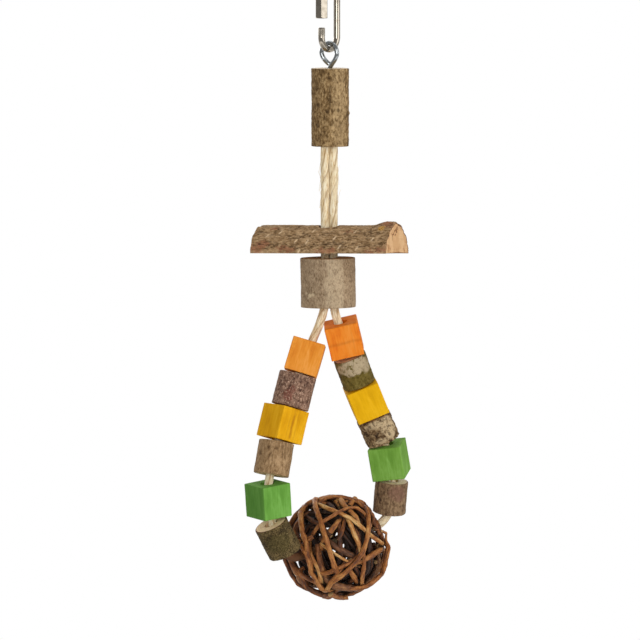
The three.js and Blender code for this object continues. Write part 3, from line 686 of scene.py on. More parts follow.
def threaded_rings(outline, low, high, hole, rows, bevel, relief, pits=None):
    """Rings of a piece with a hole along Z: up the side, over the upper face, down the hole and over the
    lower face. With pits instead, each a radius and a bottom, the upper one first, they start at the bottom
    of the lower pit and end at that of the upper one. relief(points) moves the side in or out. Returns the
    rings, each ring's part, and for each point its distance to the side and its relief."""
    normal = outline_normals(outline)
    mouth = polar(np.arctan2(outline[:, 1], outline[:, 0]))
    none = np.zeros(len(outline))
    saw = Noise(5)

    def side_ring(z, inset=0):
        ring = at_level(outline, z)
        move = relief(ring)
        ring[:, :2] += normal * (move - inset)[:, None]
        return ring, SIDE, none, move

    def face_ring(rim, z, radius, share, way):
        flat = rim[:, :2] * (1 - share) + mouth * radius * share
        dip = way * (0.01 + 0.06 * np.abs(saw(at_level(flat * (0.12, 1.1), z))))
        edge = np.hypot(*(rim[:, :2] - flat).T) + 0.12
        return np.column_stack([flat, z + dip]), CUT, edge, none

    def wall(radius, start, end, count):
        made = []
        for z in np.linspace(start, end, count):
            wobble = 0.12 * saw(at_level(mouth * 3, z * 0.7))
            made.append((at_level(mouth * (radius + wobble)[:, None], z), BORE, none + DEEP, none))
        return made

    bevels = [(bevel * (1 - math.cos(a)), bevel * (1 - math.sin(a))) for a in BEVEL_ANGLES]
    side = [side_ring(low + rise, inset) for rise, inset in bevels]
    side += [side_ring(z) for z in np.linspace(low + bevel, high - bevel, rows)]
    side += [side_ring(high - rise, inset) for rise, inset in bevels[::-1]]
    (upper, top), (lower, bottom) = pits or ((hole, None), (hole, None))
    shares = np.linspace(0, 1, FACE_RINGS + 1)[1:]
    upper_face = [face_ring(side[-1][0], high, upper, share, -1) for share in shares]
    lower_face = [face_ring(side[0][0], low, lower, share, 1) for share in shares[::-1]]
    if pits:
        made = wall(lower, bottom, low + 0.3, 9) + lower_face + side + upper_face
        made += wall(upper, high - 0.3, top, 7)
    else:
        made = side + upper_face + wall(hole, high - 0.35, low + 0.35, 9) + lower_face
    rings, part, edge, depth = zip(*made)
    return rings, part, np.concatenate(edge), np.concatenate(depth)


def threaded_slots(part, size, closed, total):
    """Each face takes the part of its rings. Between two parts it takes the inner one."""
    slots = []
    for first, second in zip(part, part[1:] + part[:1] if closed else part[1:]):
        slots += [max(first, second)] * size
    return slots + [BORE] * (total - len(slots))


def around_axis(points, where):
    """Distance of points round Z from an angle, which counts from the near side"""
    angle = np.degrees(np.arctan2(points[:, 1], points[:, 0])) - NEAR
    return np.radians((angle - where + 180) % 360 - 180) * np.hypot(points[:, 0], points[:, 1])


def bark_relief(seed, ridge, crack, stretch, lumps):
    """Relief of bark: ridges along the branch, cracks, a slow swell and lumps (angle, z, size, height)"""
    first, second = Noise(seed), Noise(seed + 100)

    def relief(points):
        value = ridge * first.layers(points * stretch, 4)
        split = np.abs(second.layers(points * np.array(stretch) * 0.8 + 30, 3))
        value -= crack * np.clip(1 - split / 0.09, 0, 1)
        value += 0.3 * second(points * 0.09 + 11)
        for where, z, size, height in lumps:
            away = (around_axis(points, where) / size) ** 2 + ((points[:, 2] - z) / size) ** 2
            value += height * np.exp(-away)
        return np.clip(value, -1.1, 0.75) + 0.05

    return relief


def patch_value(points, patches, seed):
    """Share of a second tone in soft-edged patches (angle, z, width, height, strength): the bark's own tone,
    and on the branch and the barrel a painted highlight
    """
    rough = Noise(seed + 50)
    value = np.zeros(len(points))
    edge = 0.35 * rough.layers(points * 0.22, 3) + 0.22 * rough.layers(points * 0.9 + 3, 3)
    for where, z, width, height, strength in patches:
        away = np.hypot(around_axis(points, where) / width, (points[:, 2] - z) / height) + edge
        value = np.maximum(value, strength * np.clip((1.12 - away) / 0.3, 0, 1))
    return value


def make_log(
    name, look, cut, seed, relief, patches=(), marks=(), lumps=(), hole=BEAD_HOLE, pits=None, place=None,
    body=None, count=150,
):
    place = place or local_frame(name)
    solid = local_points(name, place)
    low, high = solid[:, 2].min(), solid[:, 2].max()
    outline = lobed_outline(solid, count)
    rows = int((high - low) / LOG_ROW)
    bark = bark_relief(seed, *relief, lumps)
    rings, part, edge, depth = threaded_rings(outline, low, high, hole, rows, LOG_BEVEL, bark, pits)
    points, faces = ring_body(rings, closed=pits is None)
    extra = len(points) - len(edge)
    values = {
        "edge": np.append(edge, [DEEP] * extra), "relief": np.append(depth, [0] * extra),
        "patch": patch_value(points, patches, seed), "mark": patch_value(points, marks, seed + 7),
    }
    slots = threaded_slots(part, count, pits is None, len(faces))
    add_piece(
        name + "_wood", body or name, [name], "bark", points, faces, [look, cut, cut],
        place=place, slots=slots, values=values,
    )


def make_cube(name, colours, spin, seed, streaks=(), left_face_shade=0.0, dye=()):
    """A dyed cube, turned about its hole. Streaks on its front: axis, level, width and strength. A share of
    painted shade can darken its -X face.
    """
    side, colour, _ = name.split("_")
    look = dye_material(f"{colour}_{side}", *colours, *dye)
    outline = square_outline(CUBE_SIDE, CUBE_CORNER)
    rough = Noise(seed)

    def relief(points):
        return 0.22 * rough(points * 0.07) + 0.05 * rough(points * (0.9, 0.9, 0.15)) - 0.06

    half = CUBE_SIDE / 2
    rings, part, _, _ = threaded_rings(outline, -half, half, BEAD_HOLE, CUBE_ROWS, CUBE_BEVEL, relief)
    points, faces = ring_body(rings, closed=True)
    inner = np.repeat(np.array(part) == BORE, len(outline)).astype(float)
    second = np.sort(np.abs(points), axis=1)[:, 1]
    # Painted shade: the -X face, which lies in shade, darkens with the streak colour
    streak = left_face_shade * (points[:, 0] < -CUBE_FACE)
    wave = 1.1 * rough(points * 0.11 + 5) + 0.3 * rough(points * 0.5 + 5)
    worn = np.clip(0.9 + 2 * rough(points * 0.16 + 9), 0, 1)
    for axis, level, width, strength in streaks:
        away = (points[:, axis] + wave - level) / width
        streak = np.maximum(streak, strength * worn * np.exp(-away ** 2) * (points[:, 1] < -CUBE_FACE))
    values = {"edge": np.clip(second - CUBE_EDGE, 0, 1) * (1 - inner), "hole": inner, "streak": streak}
    place = local_frame(name, spin)
    slot = colour + "_wood"
    add_piece(name + "_block", name, [name], slot, points, faces, [look], place=place, values=values)


cut_wood = cut_material("cut_wood", (222, 186, 140), (192, 148, 102))
pale_cut = cut_material("pale_cut", (238, 214, 176), (216, 182, 138), rind_width=0.3, stains=0.2, sheen=0.6)
pink_cut = cut_material("pink_cut", (253, 217, 178), (236, 196, 156), (120, 66, 44), 0.3, 0.3)
make_log(
    "top_branch",
    bark_material(
        "branch_bark", (72, 53, 30), (124, 98, 62), (192, 164, 120), (204, 178, 136), (50, 34, 18),
        0.45, (1, 1, 2.2), 0.9, crevices=0.55, steps=(0.38, 0.5, 0.67),
    ),
    # Its patch is a paler stripe right of the near side: a painted highlight from the key light
    pale_cut, 21, (0.32, 0.3, (0.7, 0.7, 0.3)), [(30, -72, 4.5, 40, 0.36)],
    marks=[
        (-1, -65, 0.6, 9, 0.45), (-8, -74.5, 1.3, 1.5, 0.6), (-41, -71, 1.2, 1.4, 0.5),
        (26, -74, 1, 1.2, 0.5), (-41, -83, 1.5, 1.6, 0.5),
    ],
    lumps=[
        (-8, -74.5, 1.7, 0.45), (-41, -71, 1.6, 0.35), (26, -74, 1.3, 0.35),
        (-41, -83, 1.8, 0.4), (84, -76, 1.1, 0.5),
    ],
    pits=[(2.2, branch_top - 17), (PAIR_HOLE, branch_bottom + 20.3)],
    place=Matrix.Translation(((branch_low.x + branch_high.x) / 2, 0, 0)), body="hanger",
)
make_log(
    "barrel",
    bark_material(
        "barrel_bark", (118, 98, 76), (156, 134, 108), (190, 168, 140), (206, 188, 160), (220, 202, 170),
        0.25, (1, 1, 1.7), 1.0, crevices=0.3, fleck_level=0.63, steps=(0.38, 0.5, 0.66),
    ),
    # Its patch is a paler band right of the near side: a painted highlight
    cut_wood, 22, (0.22, 0.16, (0.8, 0.8, 0.2)), [(12, 0, 6, 34, 0.5)],
    marks=[
        (-44, -7, 1.6, 1.3, 0.8), (-36, -6.4, 1.2, 0.9, 0.6), (-57, -5.8, 1, 0.8, 0.6),
        (-50, -8.6, 1.1, 0.7, 0.5),
    ],
    lumps=[(-40, -8, 3, 0.4)], hole=PAIR_HOLE, count=190,
)
make_log(
    "left_upper_log",
    bark_material(
        "plum_bark", (66, 45, 37), (120, 91, 76), (168, 136, 116), (112, 50, 40), (226, 196, 172),
        0.9, (1, 1, 1.3), 0.75, fleck_level=0.6, steps=(0.39, 0.5, 0.64),
    ),
    cut_wood, 23, (0.25, 0.12, (0.8, 0.8, 0.5)),
    [(-14, -4, 3, 3.6, 0.65), (-4, -0.5, 2, 2.6, 0.5)],
)
make_log(
    "left_middle_log",
    bark_material(
        "tan_bark", (96, 72, 48), (146, 118, 84), (180, 150, 114), (160, 122, 84), (196, 168, 130),
        0.5, (1, 1, 2.6), 0.8, fleck_level=0.62, steps=(0.39, 0.5, 0.63),
    ),
    cut_wood, 24, (0.22, 0.18, (0.8, 0.8, 0.25)),
)
make_log(
    "left_lower_log",
    bark_material(
        "moss_bark", (26, 20, 8), (70, 57, 30), (128, 110, 72), (78, 70, 34), (156, 140, 100),
        0.7, (1, 1, 1.1), 1.3, fleck_level=0.62, steps=(0.39, 0.5, 0.64),
    ),
    pink_cut, 25, (0.3, 0.15, (0.8, 0.8, 0.5)), [(0, 0, 8, 6, 0.6)],
)
make_log(
    "right_upper_log",
    bark_material(
        "lichen_bark", (60, 48, 16), (97, 83, 30), (130, 114, 56), (182, 166, 138), (176, 156, 118),
        0.3, (1, 1, 1.4), 0.55,
    ),
    cut_wood, 26, (0.3, 0.08, (0.6, 0.6, 0.45)), [(6, 4.8, 11, 5.2, 1.0), (50, 3, 5, 5, 0.9)],
)
make_log(
    "right_middle_log",
    bark_material(
        "flaky_bark", (48, 33, 19), (104, 80, 52), (186, 162, 124), (198, 178, 144), (200, 180, 146),
        0.5, (1, 1, 1.2), 0.5,
    ),
    cut_wood, 27, (0.75, 0.7, (0.28, 0.28, 0.26)),
    [(42, 1, 6, 6.5, 1.0), (-5, 5.5, 6, 2.4, 0.9), (5, -5.5, 5, 1.8, 0.8)],
)
make_log(
    "right_lower_log",
    bark_material(
        "grey_bark", (72, 53, 38), (118, 94, 70), (154, 128, 98), (126, 90, 78), (176, 150, 116),
        0.5, (1, 1, 1.6), 0.7, fleck_level=0.63, steps=(0.39, 0.5, 0.63),
    ),
    pale_cut, 28, (0.25, 0.15, (0.8, 0.8, 0.35)), [(25, 4, 6, 5, 0.6)],
)
# Cubes: the dye's own tone, a darker one, a paler one and that of its streaks and of painted shade, then the
# turn and the seed
make_cube("left_orange_cube", [(230, 145, 50), (214, 122, 34), (240, 162, 76), (160, 84, 24)], -2, 31)
make_cube(
    "right_orange_cube", [(236, 134, 38), (222, 108, 26), (240, 152, 62), (158, 66, 18)], 0, 32,
    [(2, -0.6, 1.0, 0.28)], dye=(0.3, (0, 90, 0)),
)
make_cube(
    "left_yellow_cube", [(226, 164, 12), (206, 144, 8), (238, 182, 34), (158, 92, 16)], 39, 33,
    [(0, -0.8, 0.8, 0.7), (0, -3.6, 0.35, 0.35), (0, 2.4, 0.4, 0.3)],
)
make_cube(
    "right_yellow_cube", [(228, 172, 8), (214, 158, 4), (238, 184, 26), (182, 122, 14)], 6, 34, dye=(0.2,),
)
make_cube(
    # Its -X face is painted darker as shade
    "left_green_cube", [(104, 158, 65), (90, 142, 53), (124, 178, 84), (58, 100, 36)], 34, 35, left_face_shade=0.5,
)
make_cube(
    "right_green_cube", [(114, 160, 64), (96, 142, 50), (134, 180, 86), (66, 110, 40)], -12, 36, dye=(0.25,),
)

# Quick link, sleeve and screw eye
nickel = metal_material("nickel_plate", (158, 150, 137), (118, 109, 95), 0.1)
zinc = metal_material("zinc_plate", (158, 162, 163), (104, 108, 111), 0.15)
LINK_YAW = math.radians(52.6)
SLEEVE_TURN = math.radians(30)
LINK_BEND = 7.5
LINK_RADIUS = 2.0
LINK_CENTRES = (-30.5, -5.5)
LINK_GAP = (-24.8, -19.3)
THREAD_PITCH = 0.8
THREAD_HEIGHT = 0.25
THREAD_ROOT = -0.02
# Where the threads below and above the gap run out, along the rod
LOWER_RUNOUT = (4.4, 5.2)
UPPER_RUNOUT = (12.6, 13.6)
BORE_THREAD = 0.12
BORE_LEAD = 0.25
# Radii of the sleeve
SLEEVE_FLATS = 3.5
SLEEVE_CORNER = 3.95
SLEEVE_END = 3.3
SLEEVE_FACE = (3.1, 2.9)
SLEEVE_BORE = 2.55


def ridges(at, angle, pitch):
    """Right-hand thread form, 0 in the root and 1 on the crest"""
    phase = at / pitch - angle / (2 * math.pi)
    return 1 - np.abs(2 * (phase % 1) - 1)


def chamfer(away, depth, length):
    """What the radius of a rod loses towards its end"""
    return depth * (1 - np.clip(away / length, 0, 1))[:, None]


def make_link():
    def bend(z, start):
        a = np.radians(np.linspace(start, start + 180, 120))
        return np.column_stack([LINK_BEND * np.cos(a), 0 * a, z + LINK_BEND * np.sin(a)])

    ends = [[(-LINK_BEND, 0, z)] for z in LINK_GAP]
    line = np.vstack([ends[0], bend(LINK_CENTRES[0], 180), bend(LINK_CENTRES[1], 0), ends[1]])
    line, at = even(line, 0.12)
    angle = wound(len(at), 32)
    far = at[-1] - at
    cut = np.maximum(1 - step(at, *LOWER_RUNOUT), 1 - step(far, *UPPER_RUNOUT))[:, None]
    thread = THREAD_HEIGHT * ridges(at[:, None], angle, THREAD_PITCH) + THREAD_ROOT
    reach = LINK_RADIUS + cut * thread - chamfer(np.minimum(at, far), 0.45, 0.5)
    points, faces = ring_body(tube_rings(line, reach, angle))
    place = Matrix.Rotation(LINK_YAW, 4, "Z")
    add_piece(
        "link_rod", "quick_link", ["link_body"], "nickel_steel", points, faces, [nickel],
        place=place, sharp=50,
    )


def make_sleeve():
    low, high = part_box("link_sleeve")
    length = (high.z - low.z) / MM
    angle = circle(120)
    hexagon = np.minimum(SLEEVE_FLATS / np.cos(angle % (math.pi / 3) - math.pi / 6), SLEEVE_CORNER)
    levels = np.concatenate([np.linspace(0, 0.7, 11), np.linspace(0.9, length / 2, 12)])
    levels = np.concatenate([levels, (length - levels[:-1])[::-1]])

    def ring(reach, z):
        return at_level(polar(angle, reach), z)

    rings = [ring(np.minimum(hexagon, SLEEVE_END + min(z, length - z)), z) for z in levels]
    rings += [ring(radius, length) for radius in SLEEVE_FACE]
    for z in np.linspace(length - BORE_LEAD, BORE_LEAD, 90):
        rings.append(ring(SLEEVE_BORE - BORE_THREAD * ridges(z, angle, THREAD_PITCH), z))
    rings += [ring(radius, 0) for radius in SLEEVE_FACE[::-1]]
    points, faces = ring_body(rings, closed=True)
    place = Matrix.Translation(((low.x + high.x) / 2, (low.y + high.y) / 2, low.z))
    place = place @ Matrix.Rotation(SLEEVE_TURN, 4, "Z")
    add_piece(
        "hex_sleeve", "sleeve", ["link_sleeve"], "nickel_steel", points, faces, [nickel],
        place=place, sharp=25,
    )


EYE_YAW = math.radians(-37.4)
EYE_RADIUS = 1.4
EYE_BEND = 5.7
EYE_CENTRE = 9.3
SHANK_LENGTH = 16.0
SCREW_ROOT = 1.15
SCREW_HEIGHT = 0.45
SCREW_PITCH = 2.0
SCREW_TIP = 3.5


def make_eye():
    side = math.acos(EYE_BEND / EYE_CENTRE)
    tx, tz = EYE_BEND * math.sin(side), EYE_CENTRE - EYE_BEND * math.cos(side)
    shoulder = EYE_BEND * math.sqrt(0.5)
    behind = 2 * EYE_RADIUS + 0.3
    turn = [
        (0, 0, -2), (0, 0, -0.4), (tx * 0.45, 0, tz * 0.45), (tx, 0, tz), (EYE_BEND, 0, EYE_CENTRE),
        (shoulder, 0, EYE_CENTRE + shoulder), (0, 0, EYE_CENTRE + EYE_BEND),
        (-shoulder, 0, EYE_CENTRE + shoulder), (-EYE_BEND, 0, EYE_CENTRE), (-tx, behind * 0.15, tz),
        (-tx * 0.55, behind * 0.7, tz * 0.5), (-tx * 0.2, behind, EYE_RADIUS + 0.3),
    ]
    line, at = even(np.vstack([[(0, 0, -SHANK_LENGTH)], smooth_curve(turn, 30)]), 0.15)
    angle = wound(len(at), 28)
    screw = (1 - step(at, SHANK_LENGTH - 1.2, SHANK_LENGTH - 0.4))[:, None]
    thread = SCREW_ROOT + SCREW_HEIGHT * ridges(at[:, None], angle, SCREW_PITCH) ** 2
    reach = EYE_RADIUS * (1 - screw) + thread * screw
    reach = reach * (0.08 + 0.92 * step(at, -0.5, SCREW_TIP))[:, None] - chamfer(at[-1] - at, 0.3, 0.4)
    points, faces = ring_body(tube_rings(line, reach, angle))
    place = Matrix.Translation((0, 0, branch_top * MM)) @ Matrix.Rotation(EYE_YAW, 4, "Z")
    add_piece("eye_wire", "hanger", ["screw_eye"], "zinc_steel", points, faces, [zinc], place=place, sharp=50)


make_link()
make_sleeve()
make_eye()

# Perch: half log along X, flat side down. Its ridges repeat the solid model's.
PERCH_YAW = math.radians(-25)
PERCH_ROLL = math.radians(-3)
PERCH_HALF = 44.5
PERCH_SIDE = 16.5
PERCH_HEIGHT = 16.4
KNOT_X = 40.5
KNOT_HEIGHT = 2.2
KNOT_REACH = 6.0
KNOT_BREADTH = 8.5
RIDGE_COUNT = 6
RIDGE_HEIGHT = 0.7
RIDGE_WANDER = 1.2
RIDGE_WAVE = 58.0
RIDGE_FADE = 4.0
# Height of a sawn end's middle, and the shares of the way to it at which its rings lie
END_MIDDLE = 6.5
END_SHARES = (0.03, 0.07, 0.12, 0.2, 0.3, 0.42, 0.55, 0.7, 0.85)
# Slot of the perch's split underside, after its bark and its sawn ends
UNDERSIDE = 2
# Middle of the knot's torn bark: place along the perch and angle round it
TORN_PLACE = (38.2, 120)
# Pale scars and red patches on the bark: place along the perch and angle round it
PERCH_SCARS = [
    (-27, 130), (-5.5, 127), (10, 147), (-15, 154), (-7.5, 155), (21.5, 128), (14, 166), (25.5, 168),
    (-12.5, 176), (-34.8, 141), (34.8, 149), (-30, 60), (-18, 40), (-4, 52), (12, 30), (24, 58), (33, 38),
    (3, 90),
]
PERCH_REDS = [
    (-40, 170, 3.2), (-37, 162, 3), (-23, 169, 2.6), (-18, 173, 2.4), (2.5, 176, 2.6), (8.5, 174, 2.2),
    (34, 176, 2.6), (41, 170, 2.4), (17, 128, 2), (-32, 116, 2.4), (-28, 30, 3), (6, 22, 3), (30, 12, 3),
]


def drill(piece, radius, low, high):
    """A round hole up Z through a piece, its wall in the piece's second material"""
    rim = polar(circle(72), radius)
    points, faces = ring_body([at_level(rim, z) for z in (low, high)])
    bit = add_object("bit", points, faces, list(piece.data.materials), piece.matrix_world, [CUT] * len(faces))
    hole = piece.modifiers.new("hole", "BOOLEAN")
    hole.object, hole.solver, hole.operation = bit, "EXACT", "DIFFERENCE"
    view = bpy.context.evaluated_depsgraph_get()
    mesh = bpy.data.meshes.new_from_object(piece.evaluated_get(view))
    piece.modifiers.clear()
    piece.data = mesh
    mesh.set_sharp_from_angle(angle=math.radians(40))
    bpy.data.objects.remove(bit)


def make_perch(bark, cut, split):
    ridge, fine = Noise(41), Noise(42)
    t = np.linspace(0, math.pi, 190)
    ways = polar(t)
    arc = ways * (PERCH_SIDE, PERCH_HEIGHT)
    flat = np.column_stack([np.linspace(-PERCH_SIDE, PERCH_SIDE, 52)[1:-1], np.zeros(50)])
    outline = np.vstack([arc, flat])
    fade = np.minimum(1, arc[:, 1] / RIDGE_FADE)

    def side_ring(x, inset):
        ring = np.column_stack([np.full(len(outline), x), outline])
        round_side, under = ring[:len(arc)], ring[len(arc):]
        wander = RIDGE_WANDER * math.sin(2 * math.pi * x / RIDGE_WAVE)
        swell = RIDGE_HEIGHT / 2 * fade * np.cos(2 * RIDGE_COUNT * t + wander)
        rough = 0.3 * ridge.layers(round_side * (0.2, 0.55, 0.55), 4)
        crack = np.abs(fine.layers(round_side * (0.14, 0.46, 0.46) + 20, 4))
        rough = np.clip(rough - 0.45 * np.clip(1 - crack / 0.12, 0, 1) + 0.1, -0.6, 0.35)
        move = swell + rough * np.clip(arc[:, 1] / 2.5, 0.15, 1) - inset
        saw = 0.12 + 0.25 * np.abs(fine.layers(under * (0.05, 0.7, 0.7) + 9, 3))
        round_side[:, 1:] += ways * move[:, None]
        under[:, 2] += saw
        away = np.hypot((x - KNOT_X) / KNOT_REACH, (ring[:, 1] + 1) / KNOT_BREADTH)
        lump = 0.5 * fine.layers(ring * 0.3 + 40, 3)
        ring[:, 2] += (KNOT_HEIGHT + lump) * np.exp(-away ** 3 / 2) * ring[:, 2] / PERCH_HEIGHT
        return ring, SIDE, np.append(rough + 0.3 * swell - 0.1, 0 * saw), np.zeros(len(outline))

    def cap(rim):
        """Rings of a sawn end, from its rim to its middle"""
        made = []
        heart = np.array([rim[0, 0], 0, END_MIDDLE])
        for share in END_SHARES:
            ring = rim * (1 - share) + heart * share
            gap = np.linalg.norm(ring - rim, axis=1)
            ring[:, 0] -= np.sign(rim[0, 0]) * (0.05 + 0.15 * np.abs(fine(ring * (0, 0.15, 1.2) + 3)))
            made.append((ring, CUT, np.zeros(len(ring)), gap + 0.1))
        return made

    end, last = PERCH_HALF - 0.08, PERCH_HALF - 0.4
    side = [side_ring(x, 0) for x in np.linspace(-last, last, 230)]
    side = [side_ring(-end, 0.35), *side, side_ring(end, 0.35)]
    rings, part, relief, edge = zip(*cap(side[0][0])[::-1], *side, *cap(side[-1][0]))
    points, faces = ring_body(rings)
    slots = []
    for pair in zip(part, part[1:]):
        along = [SIDE] * (len(arc) - 1) + [UNDERSIDE] * (len(flat) + 1)
        slots += [CUT] * len(outline) if CUT in pair else along
    slots += [CUT] * (len(faces) - len(slots))
    values = {
        "relief": np.append(np.concatenate(relief), [0, 0]),
        "edge": np.append(np.concatenate(edge), [DEEP, DEEP]),
        **perch_marks(points, fine),
    }
    place = Matrix.Translation(joints["perch"]["pos_m"])
    place = place @ Matrix.Rotation(PERCH_ROLL, 4, "X") @ Matrix.Rotation(PERCH_YAW, 4, "Z")
    piece = add_object("perch_wood", points, faces, [bark, cut, split], place, slots, values)
    drill(piece, PAIR_HOLE, -2, PERCH_HEIGHT + 4)
    settle(piece, "perch", ["perch"])


def perch_marks(points, rough):
    """Shares of red bark, of pale scars and of the knot's torn bark"""
    x, run = points[:, 0], np.arctan2(points[:, 2], points[:, 1]) * PERCH_SIDE
    ragged = rough.layers(points * 0.45, 4)
    knot = np.hypot(x - KNOT_X, points[:, 1] + 4)
    red = 0.7 * np.clip((5 - knot + 5 * ragged) / 2, 0, 1) * (points[:, 2] > 9)
    pale = np.zeros(len(points))
    for place, angle, size in PERCH_REDS:
        away = np.hypot((x - place) / 1.6, run - math.radians(angle) * PERCH_SIDE)
        red = np.maximum(red, 0.65 * np.clip((size - away + 3 * ragged) / 1.6, 0, 1))
    for place, angle in PERCH_SCARS:
        along, across = x - place, run - math.radians(angle) * PERCH_SIDE
        length, width = 0.5 * along - 0.87 * across, 0.87 * along + 0.5 * across
        pale = np.maximum(pale, np.clip(1.5 - np.hypot(length / 1.4, width / 0.45) + 0.4 * ragged, 0, 1))
    torn = np.hypot(x - TORN_PLACE[0], run - math.radians(TORN_PLACE[1]) * PERCH_SIDE)
    return {"patch": red, "mark": pale, "torn": np.clip((3 - torn + 2 * ragged) / 1.2, 0, 1)}


make_perch(
    bark_material(
        "perch_bark", (98, 74, 46), (158, 128, 92), (204, 174, 136), (158, 98, 72), (236, 212, 178),
        0.35, (2.2, 1, 1), 0.8, crevices=0.65, steps=(0.38, 0.5, 0.66),
    ),
    cut_material(
        "perch_cut", (226, 184, 136), (204, 154, 104), rind_width=0.6, stains=0.8, crack=(30, 12.2, 3.8, 6),
    ),
    dye_material(
        "split_wood", (206, 168, 122), (178, 138, 94), (226, 194, 150), (146, 104, 66), 0.4, (0, 90, 0),
    ),
)

# Wicker ball: twigs traced on its near side as (x, z) from its centre, in millimetres, with width, depth
# below the surface and tone (0 dark, 1 pale). Tucked ends run on under the other twigs.
FRONT_TWIGS = [
    ([(-15.5, 27.5), (-21.5, 20.5), (-21, 14), (-20, 6.5), (-19, -2), (-18, -11), (-17.5, -14.5),
      (-13.5, -19.5), (-8.5, -24)], 3.0, 0.3, 0.6),
    ([(-13.5, 31), (-12.5, 24), (-9.5, 16.5), (-7.5, 10), (-5, 2.5), (-3, -4.5), (-1, -10.5)],
     2.8, 0.0, 0.58),
    ([(-10.5, 25.5), (-3, 23), (2.5, 21), (8.5, 18), (13, 14.5), (17.5, 10.5), (20, 8), (24.5, 4.5),
      (29, 0.5)], 2.4, 1.6, 0.82),
    ([(18, 23), (19, 18.5), (19, 11.5), (18, 5.5), (16, -1), (11.5, -7.5), (6, -13), (0.5, -17.5), (-3, -20),
      (-5.5, -24.5)], 2.6, 0.2, 0.62),
    ([(-8, 16.5), (-3, 19.5), (1.5, 22), (7, 24), (11.5, 24), (15.5, 21.5)], 2.0, 1.0, 0.6),
    ([(13, 26), (18, 22), (22, 18.5)], 2.4, 1.2, 0.5),
    ([(0.5, 31), (3, 27), (6, 23.5), (10.5, 19.5)], 3.0, 2.2, 0.8),
    ([(-3, 3), (4, -1.5), (11.5, -5.5)], 4.0, 5.0, 0.36),
    ([(7.5, 16.5), (10.5, 9), (13, 3.5), (14.5, -1)], 2.6, 3.0, 0.72),
    ([(16, -3.5), (16.5, -9), (15.5, -15.5), (15, -21.5)], 2.4, 1.4, 0.66),
    ([(-1, -22), (4.5, -23.5), (10.5, -24), (16.5, -23.5), (22, -20.5), (28.5, -16)], 4.2, 1.6, 0.5),
    ([(-3.5, -27.5), (-0.5, -29.5), (4, -31), (7, -31)], 3.2, 0.0, 0.5),
    ([(-32.5, -7.5), (-29, -15), (-25, -22), (-20, -26.5), (-14.5, -29), (-9.5, -29.5), (-3.5, -28.5)],
     3.2, 1.0, 0.4),
    ([(-28.5, -14.5), (-21.5, -19), (-16, -22)], 2.6, 2.4, 0.45),
    ([(27.2, 10.1), (30.2, 8.2), (32, 4.6), (31.6, -0.4), (30.2, -6.9)], 1.4, -2.2, 0.55),
    ([(20, 24), (23.5, 20), (26.5, 15), (28, 9), (30, 4.5), (29, -2), (30, -8.5), (28.5, -14.5)],
     2.8, 1.0, 0.5),
    ([(16.5, -6.5), (22, -3.5), (27, -1)], 3.2, 2.0, 0.66),
    ([(-17, -4.5), (-13.5, -10.5), (-10.5, -15), (-9.5, -19)], 2.8, 2.6, 0.8),
    ([(-5, -14), (1.5, -11), (7, -8.5)], 2.6, 2.2, 0.62),
    ([(-11, -6.5), (-9.5, -11), (-7, -15)], 3.4, 4.5, 0.5),
    ([(-6, 7.5), (-2, 12.5), (2.5, 17.5)], 3.2, 5.5, 0.62),
    ([(-6, -25), (-3, -19), (0, -16)], 2.4, 1.2, 0.55),
    ([(-2.5, -1.5), (3, -5), (8.5, -8.5)], 1.6, 3.4, 0.82),
    ([(8, -13), (11, -18), (12.5, -21.5)], 2.8, 3.6, 0.55),
    ([(-30, 6), (-27.5, 15), (-23, 21.5), (-17.5, 26)], 3.0, 0.8, 0.42),
    ([(-26.5, 1), (-25, 10), (-21.5, 17)], 3.0, 2.4, 0.34),
    ([(-23.5, -5), (-25.5, 3), (-28.5, 9)], 2.4, 1.6, 0.66),
    ([(-32, -9), (-28, -5.5), (-23, 1.5)], 2.6, 0.6, 0.4),
    ([(-30, -4), (-25.5, -9.5), (-20, -13)], 2.4, 1.4, 0.55),
    ([(-5.5, 29.5), (-0.5, 30.5), (6, 29.5), (12.5, 29), (17.5, 29), (20.5, 25)], 2.6, 1.2, 0.5),
]
# Twigs on the ball's rim that stand out furthest, the last value their side: -1 near, 1 far
RIM_TWIGS = [
    ([(-31.6, -6.9), (-29.3, -13.7), (-26.6, -18.5), (-22.7, -23.8), (-17.3, -26.8), (-12.2, -28.7)],
     2.6, -2.2, 0.42, 1),
    ([(31, 2.5), (29.7, -5.4), (28.9, -11), (27.2, -16.2), (22.6, -20), (18.2, -23)], 2.6, -1.6, 0.5, -1),
]
# Twigs whose ends stand off
LOOSE_TWIGS = (11, 14)
TRACE_SHIFT = (0.8, 0.4)
TWIG_GAIN = 1.1
TWIG_SIDES = 10
TUCK_POINTS = 11
INNER_LOOPS = 24
LOOP_CORNERS = 15
# The ball's reach, how much less it is towards the lowest logs, and how much more single twigs may have
BALL_REACH = 32.4
BALL_DIP = 2.7
BALL_SPARE = 2.4
# Leans to the ball's axis over which its reach falls towards the logs, and over which the spare ends
LOG_LEAN = (0.75, 0.835)
SPARE_LEAN = (0.66, 0.78)
# Room between the rope and the turning twigs
ROPE_ROOM = 1.1
# How far a tucked end runs on, in radians, and sinks, each from its first to its last point
TUCK_TURN = (0.03, 0.36)
TUCK_SINK = (0.2, 3.6)
ball_centre = np.array(joints["ball"]["pos_m"]) / MM
ball_axis = np.array(joints["ball"]["axis"])
rope_in_ball = rope_line[np.linalg.norm(rope_line - ball_centre, axis=1) < 36] - ball_centre
rope_along = rope_in_ball @ ball_axis
rope_away = np.linalg.norm(rope_in_ball - rope_along[:, None] * ball_axis, axis=1)


def log_side(lean):
    """How far a direction leads to the lowest logs, which the ball passes as it turns, by its lean to the
    ball's axis"""
    return step(np.abs(lean), *LOG_LEAN)


